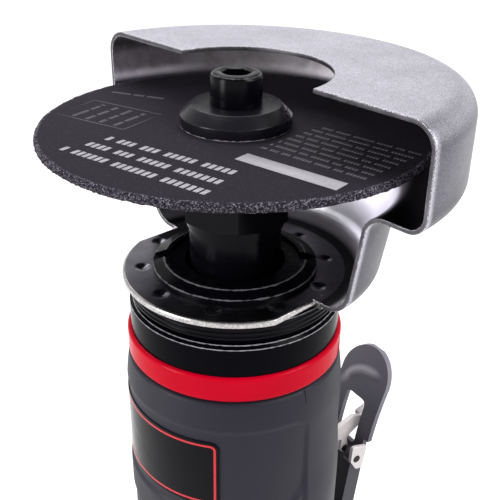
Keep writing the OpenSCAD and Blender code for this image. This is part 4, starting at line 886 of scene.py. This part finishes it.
pale_ink = print_ink("pale ink", (0.40, 0.39, 0.42))
dim_ink = print_ink("dim ink", (0.12, 0.116, 0.13))
wheel_print = skin("wheel_print", "spindle", {
    pale_ink: bars_big + panel_bar, dim_ink: bars_small + frame_bars + box_rows + side_rows})
solid = wheel_print.modifiers.new("ink thickness", "SOLIDIFY")
solid.thickness, solid.offset = print_t, 0.0


# CLAMP FLANGE AND SCREW
# A bevelled flange clamps the wheel on the hub, held by a socket head screw. Both are turned and
# blackened; the blacking has worn along the flange's lower rim, and a painted highlight runs round the
# screw's head.
flange_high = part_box("outer_flange")[1]
flange_r, flange_top = flange_high.x, flange_high.z
flange_rim_h, flange_flat_r, flange_bore = 2.2 * mm, 8.7 * mm, 3.3 * mm
flange_round, bore_round = 0.3 * mm, 0.2 * mm
flange_path = softened(
    [(flange_bore, wheel_face), (flange_r, wheel_face), (flange_r, wheel_face + flange_rim_h),
     (flange_flat_r, flange_top), (flange_bore, flange_top), (flange_bore, wheel_face)],
    [bore_round, flange_round, flange_round, bore_round], steps=5)
whole_turn = np.linspace(0, 2 * np.pi, 193)
flange_oxide = turned_finish("flange oxide", (0.006, 0.0052, 0.0088), 0.26, 0.0, specular=0.34,
                             fineness=5000.0, edges=[(flange_r, wheel_face, 0.3 * mm)])
flange = skin("clamp_flange", "spindle", {flange_oxide: [
    wrap(whole_turn, flange_path[:, 1:], flange_path[:, :1])]})
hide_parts("outer_flange")

screw_low, screw_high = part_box("wheel_screw")
head_r, screw_top, shank_r = screw_high.x, screw_high.z, 3.0 * mm
head_round, shank_round, neck_round, seat_round = 1.0 * mm, 0.4 * mm, 0.05 * mm, 0.15 * mm
socket_flats, socket_mouth = 5.0 * mm, 1.3
socket_depth, socket_bevel, socket_cone = 3.2 * mm, 0.25 * mm, 0.8 * mm
screw_path = softened(
    [(0.0, screw_low.z), (shank_r, screw_low.z), (shank_r, flange_top), (head_r, flange_top),
     (head_r, screw_top), (socket_flats / 2 * socket_mouth, screw_top)],
    [shank_round, neck_round, seat_round, head_round], steps=6)
hexagon_r = socket_flats / 2 / np.cos((whole_turn + np.pi / 6) % (np.pi / 3) - np.pi / 6)
socket_rows = np.stack([
    wrap(whole_turn, screw_top, screw_path[-1, 0]),
    wrap(whole_turn, screw_top - socket_bevel, hexagon_r),
    wrap(whole_turn, screw_top - socket_depth, hexagon_r),
    wrap(whole_turn, screw_top - socket_depth - socket_cone, 0.0)])
screw_glint = (head_r - 0.25 * mm, screw_top - 0.2 * mm, 0.22 * mm)
screw_oxide = turned_finish("screw oxide", (0.0016, 0.0014, 0.0028), 0.2, 0.0, specular=0.1,
                            fineness=8000.0, edges=[screw_glint], edge_colour=(0.08, 0.08, 0.085))
screw = skin("cap_screw", "spindle", {screw_oxide: [
    wrap(whole_turn, screw_path[:, 1:], screw_path[:, :1]), socket_rows]})
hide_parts("wheel_screw")


# STUDIO
# A pale floor, a plain sky that is brightest at the horizon, and three soft lamps.
bpy.context.scene.view_settings.view_transform = "Standard"
world = bpy.data.worlds.new("studio")
bpy.context.scene.world = world
world.use_nodes = True
tree = world.node_tree
rise = add(tree, "SeparateXYZ", {"Vector": add(tree, "TexCoord").outputs["Generated"]}).outputs["Z"]
backdrop = tree.nodes["Background"].inputs
tree.links.new(ramp(tree, rise, 0.0, 0.9, 1.0, 0.2), backdrop["Strength"])
backdrop["Color"].default_value = (1.0, 1.0, 1.0, 1.0)

floor_r, floor_level, floor_sides, floor_glow = 6.0, -0.2 * mm, 96, 0.82
floor_turn = np.linspace(0, 2 * np.pi, floor_sides + 1)[:-1]
floor_mesh = bpy.data.meshes.new("floor")
floor_mesh.from_pydata(wrap(floor_turn, floor_level, floor_r).tolist(), [], [list(range(floor_sides))])
floor = bpy.data.objects.new("floor", floor_mesh)
bpy.context.collection.objects.link(floor)
pale_floor = plain_finish("pale floor", (0.40, 0.40, 0.40), 0.9, specular=0.0)
tree = pale_floor.node_tree
paths = add(tree, "LightPath").outputs
seen = reckon(tree, "MAXIMUM", paths["Is Camera Ray"], paths["Is Glossy Ray"])
seen = reckon(tree, "MAXIMUM", seen, paths["Is Transmission Ray"])
link(pale_floor, Emission_Strength=spread(pale_floor, seen, 0.0, floor_glow))
principled(pale_floor)["Emission Color"].default_value = (1.0, 1.0, 1.0, 1.0)
floor_mesh.materials.append(pale_floor)


def aimed(name, data, place, back, up):
    """A lamp or camera at place whose own Z axis is back and whose Y axis leans to up."""
    back = np.array(back, float) / np.linalg.norm(back)
    side = np.cross(up, back)
    side /= np.linalg.norm(side)
    holder = bpy.data.objects.new(name, data)
    bpy.context.collection.objects.link(holder)
    pose = np.eye(4)
    pose[:3] = np.stack([side, np.cross(back, side), back, place], 1)
    holder.matrix_world = Matrix(pose.tolist())
    return holder


lamp_aim = np.array([0.0, 0.0, 0.16])
for name, place, width, height, power in (
        ("key", (0.35, -0.55, 0.55), 0.35, 0.5, 4.5),
        ("left strip", (-0.75, 0.05, 0.30), 0.25, 0.6, 4.5),
        ("top", (0.10, 0.35, 0.85), 0.7, 0.7, 5.0)):
    lamp = bpy.data.lights.new(name, "AREA")
    lamp.shape = "RECTANGLE"
    lamp.size, lamp.size_y, lamp.energy = width, height, power
    aimed(name, lamp, place, np.array(place) - lamp_aim, (0.0, 0.0, 1.0))

camera = bpy.data.cameras.new("camera")
camera.lens, camera.sensor_width = 55.88, 36.0
bpy.context.scene.camera = aimed(
    "camera", camera, (-0.07724, -0.12124, 0.23771), (-0.49222, -0.73714, 0.46299),
    (0.24306, 0.39435, 0.88624))
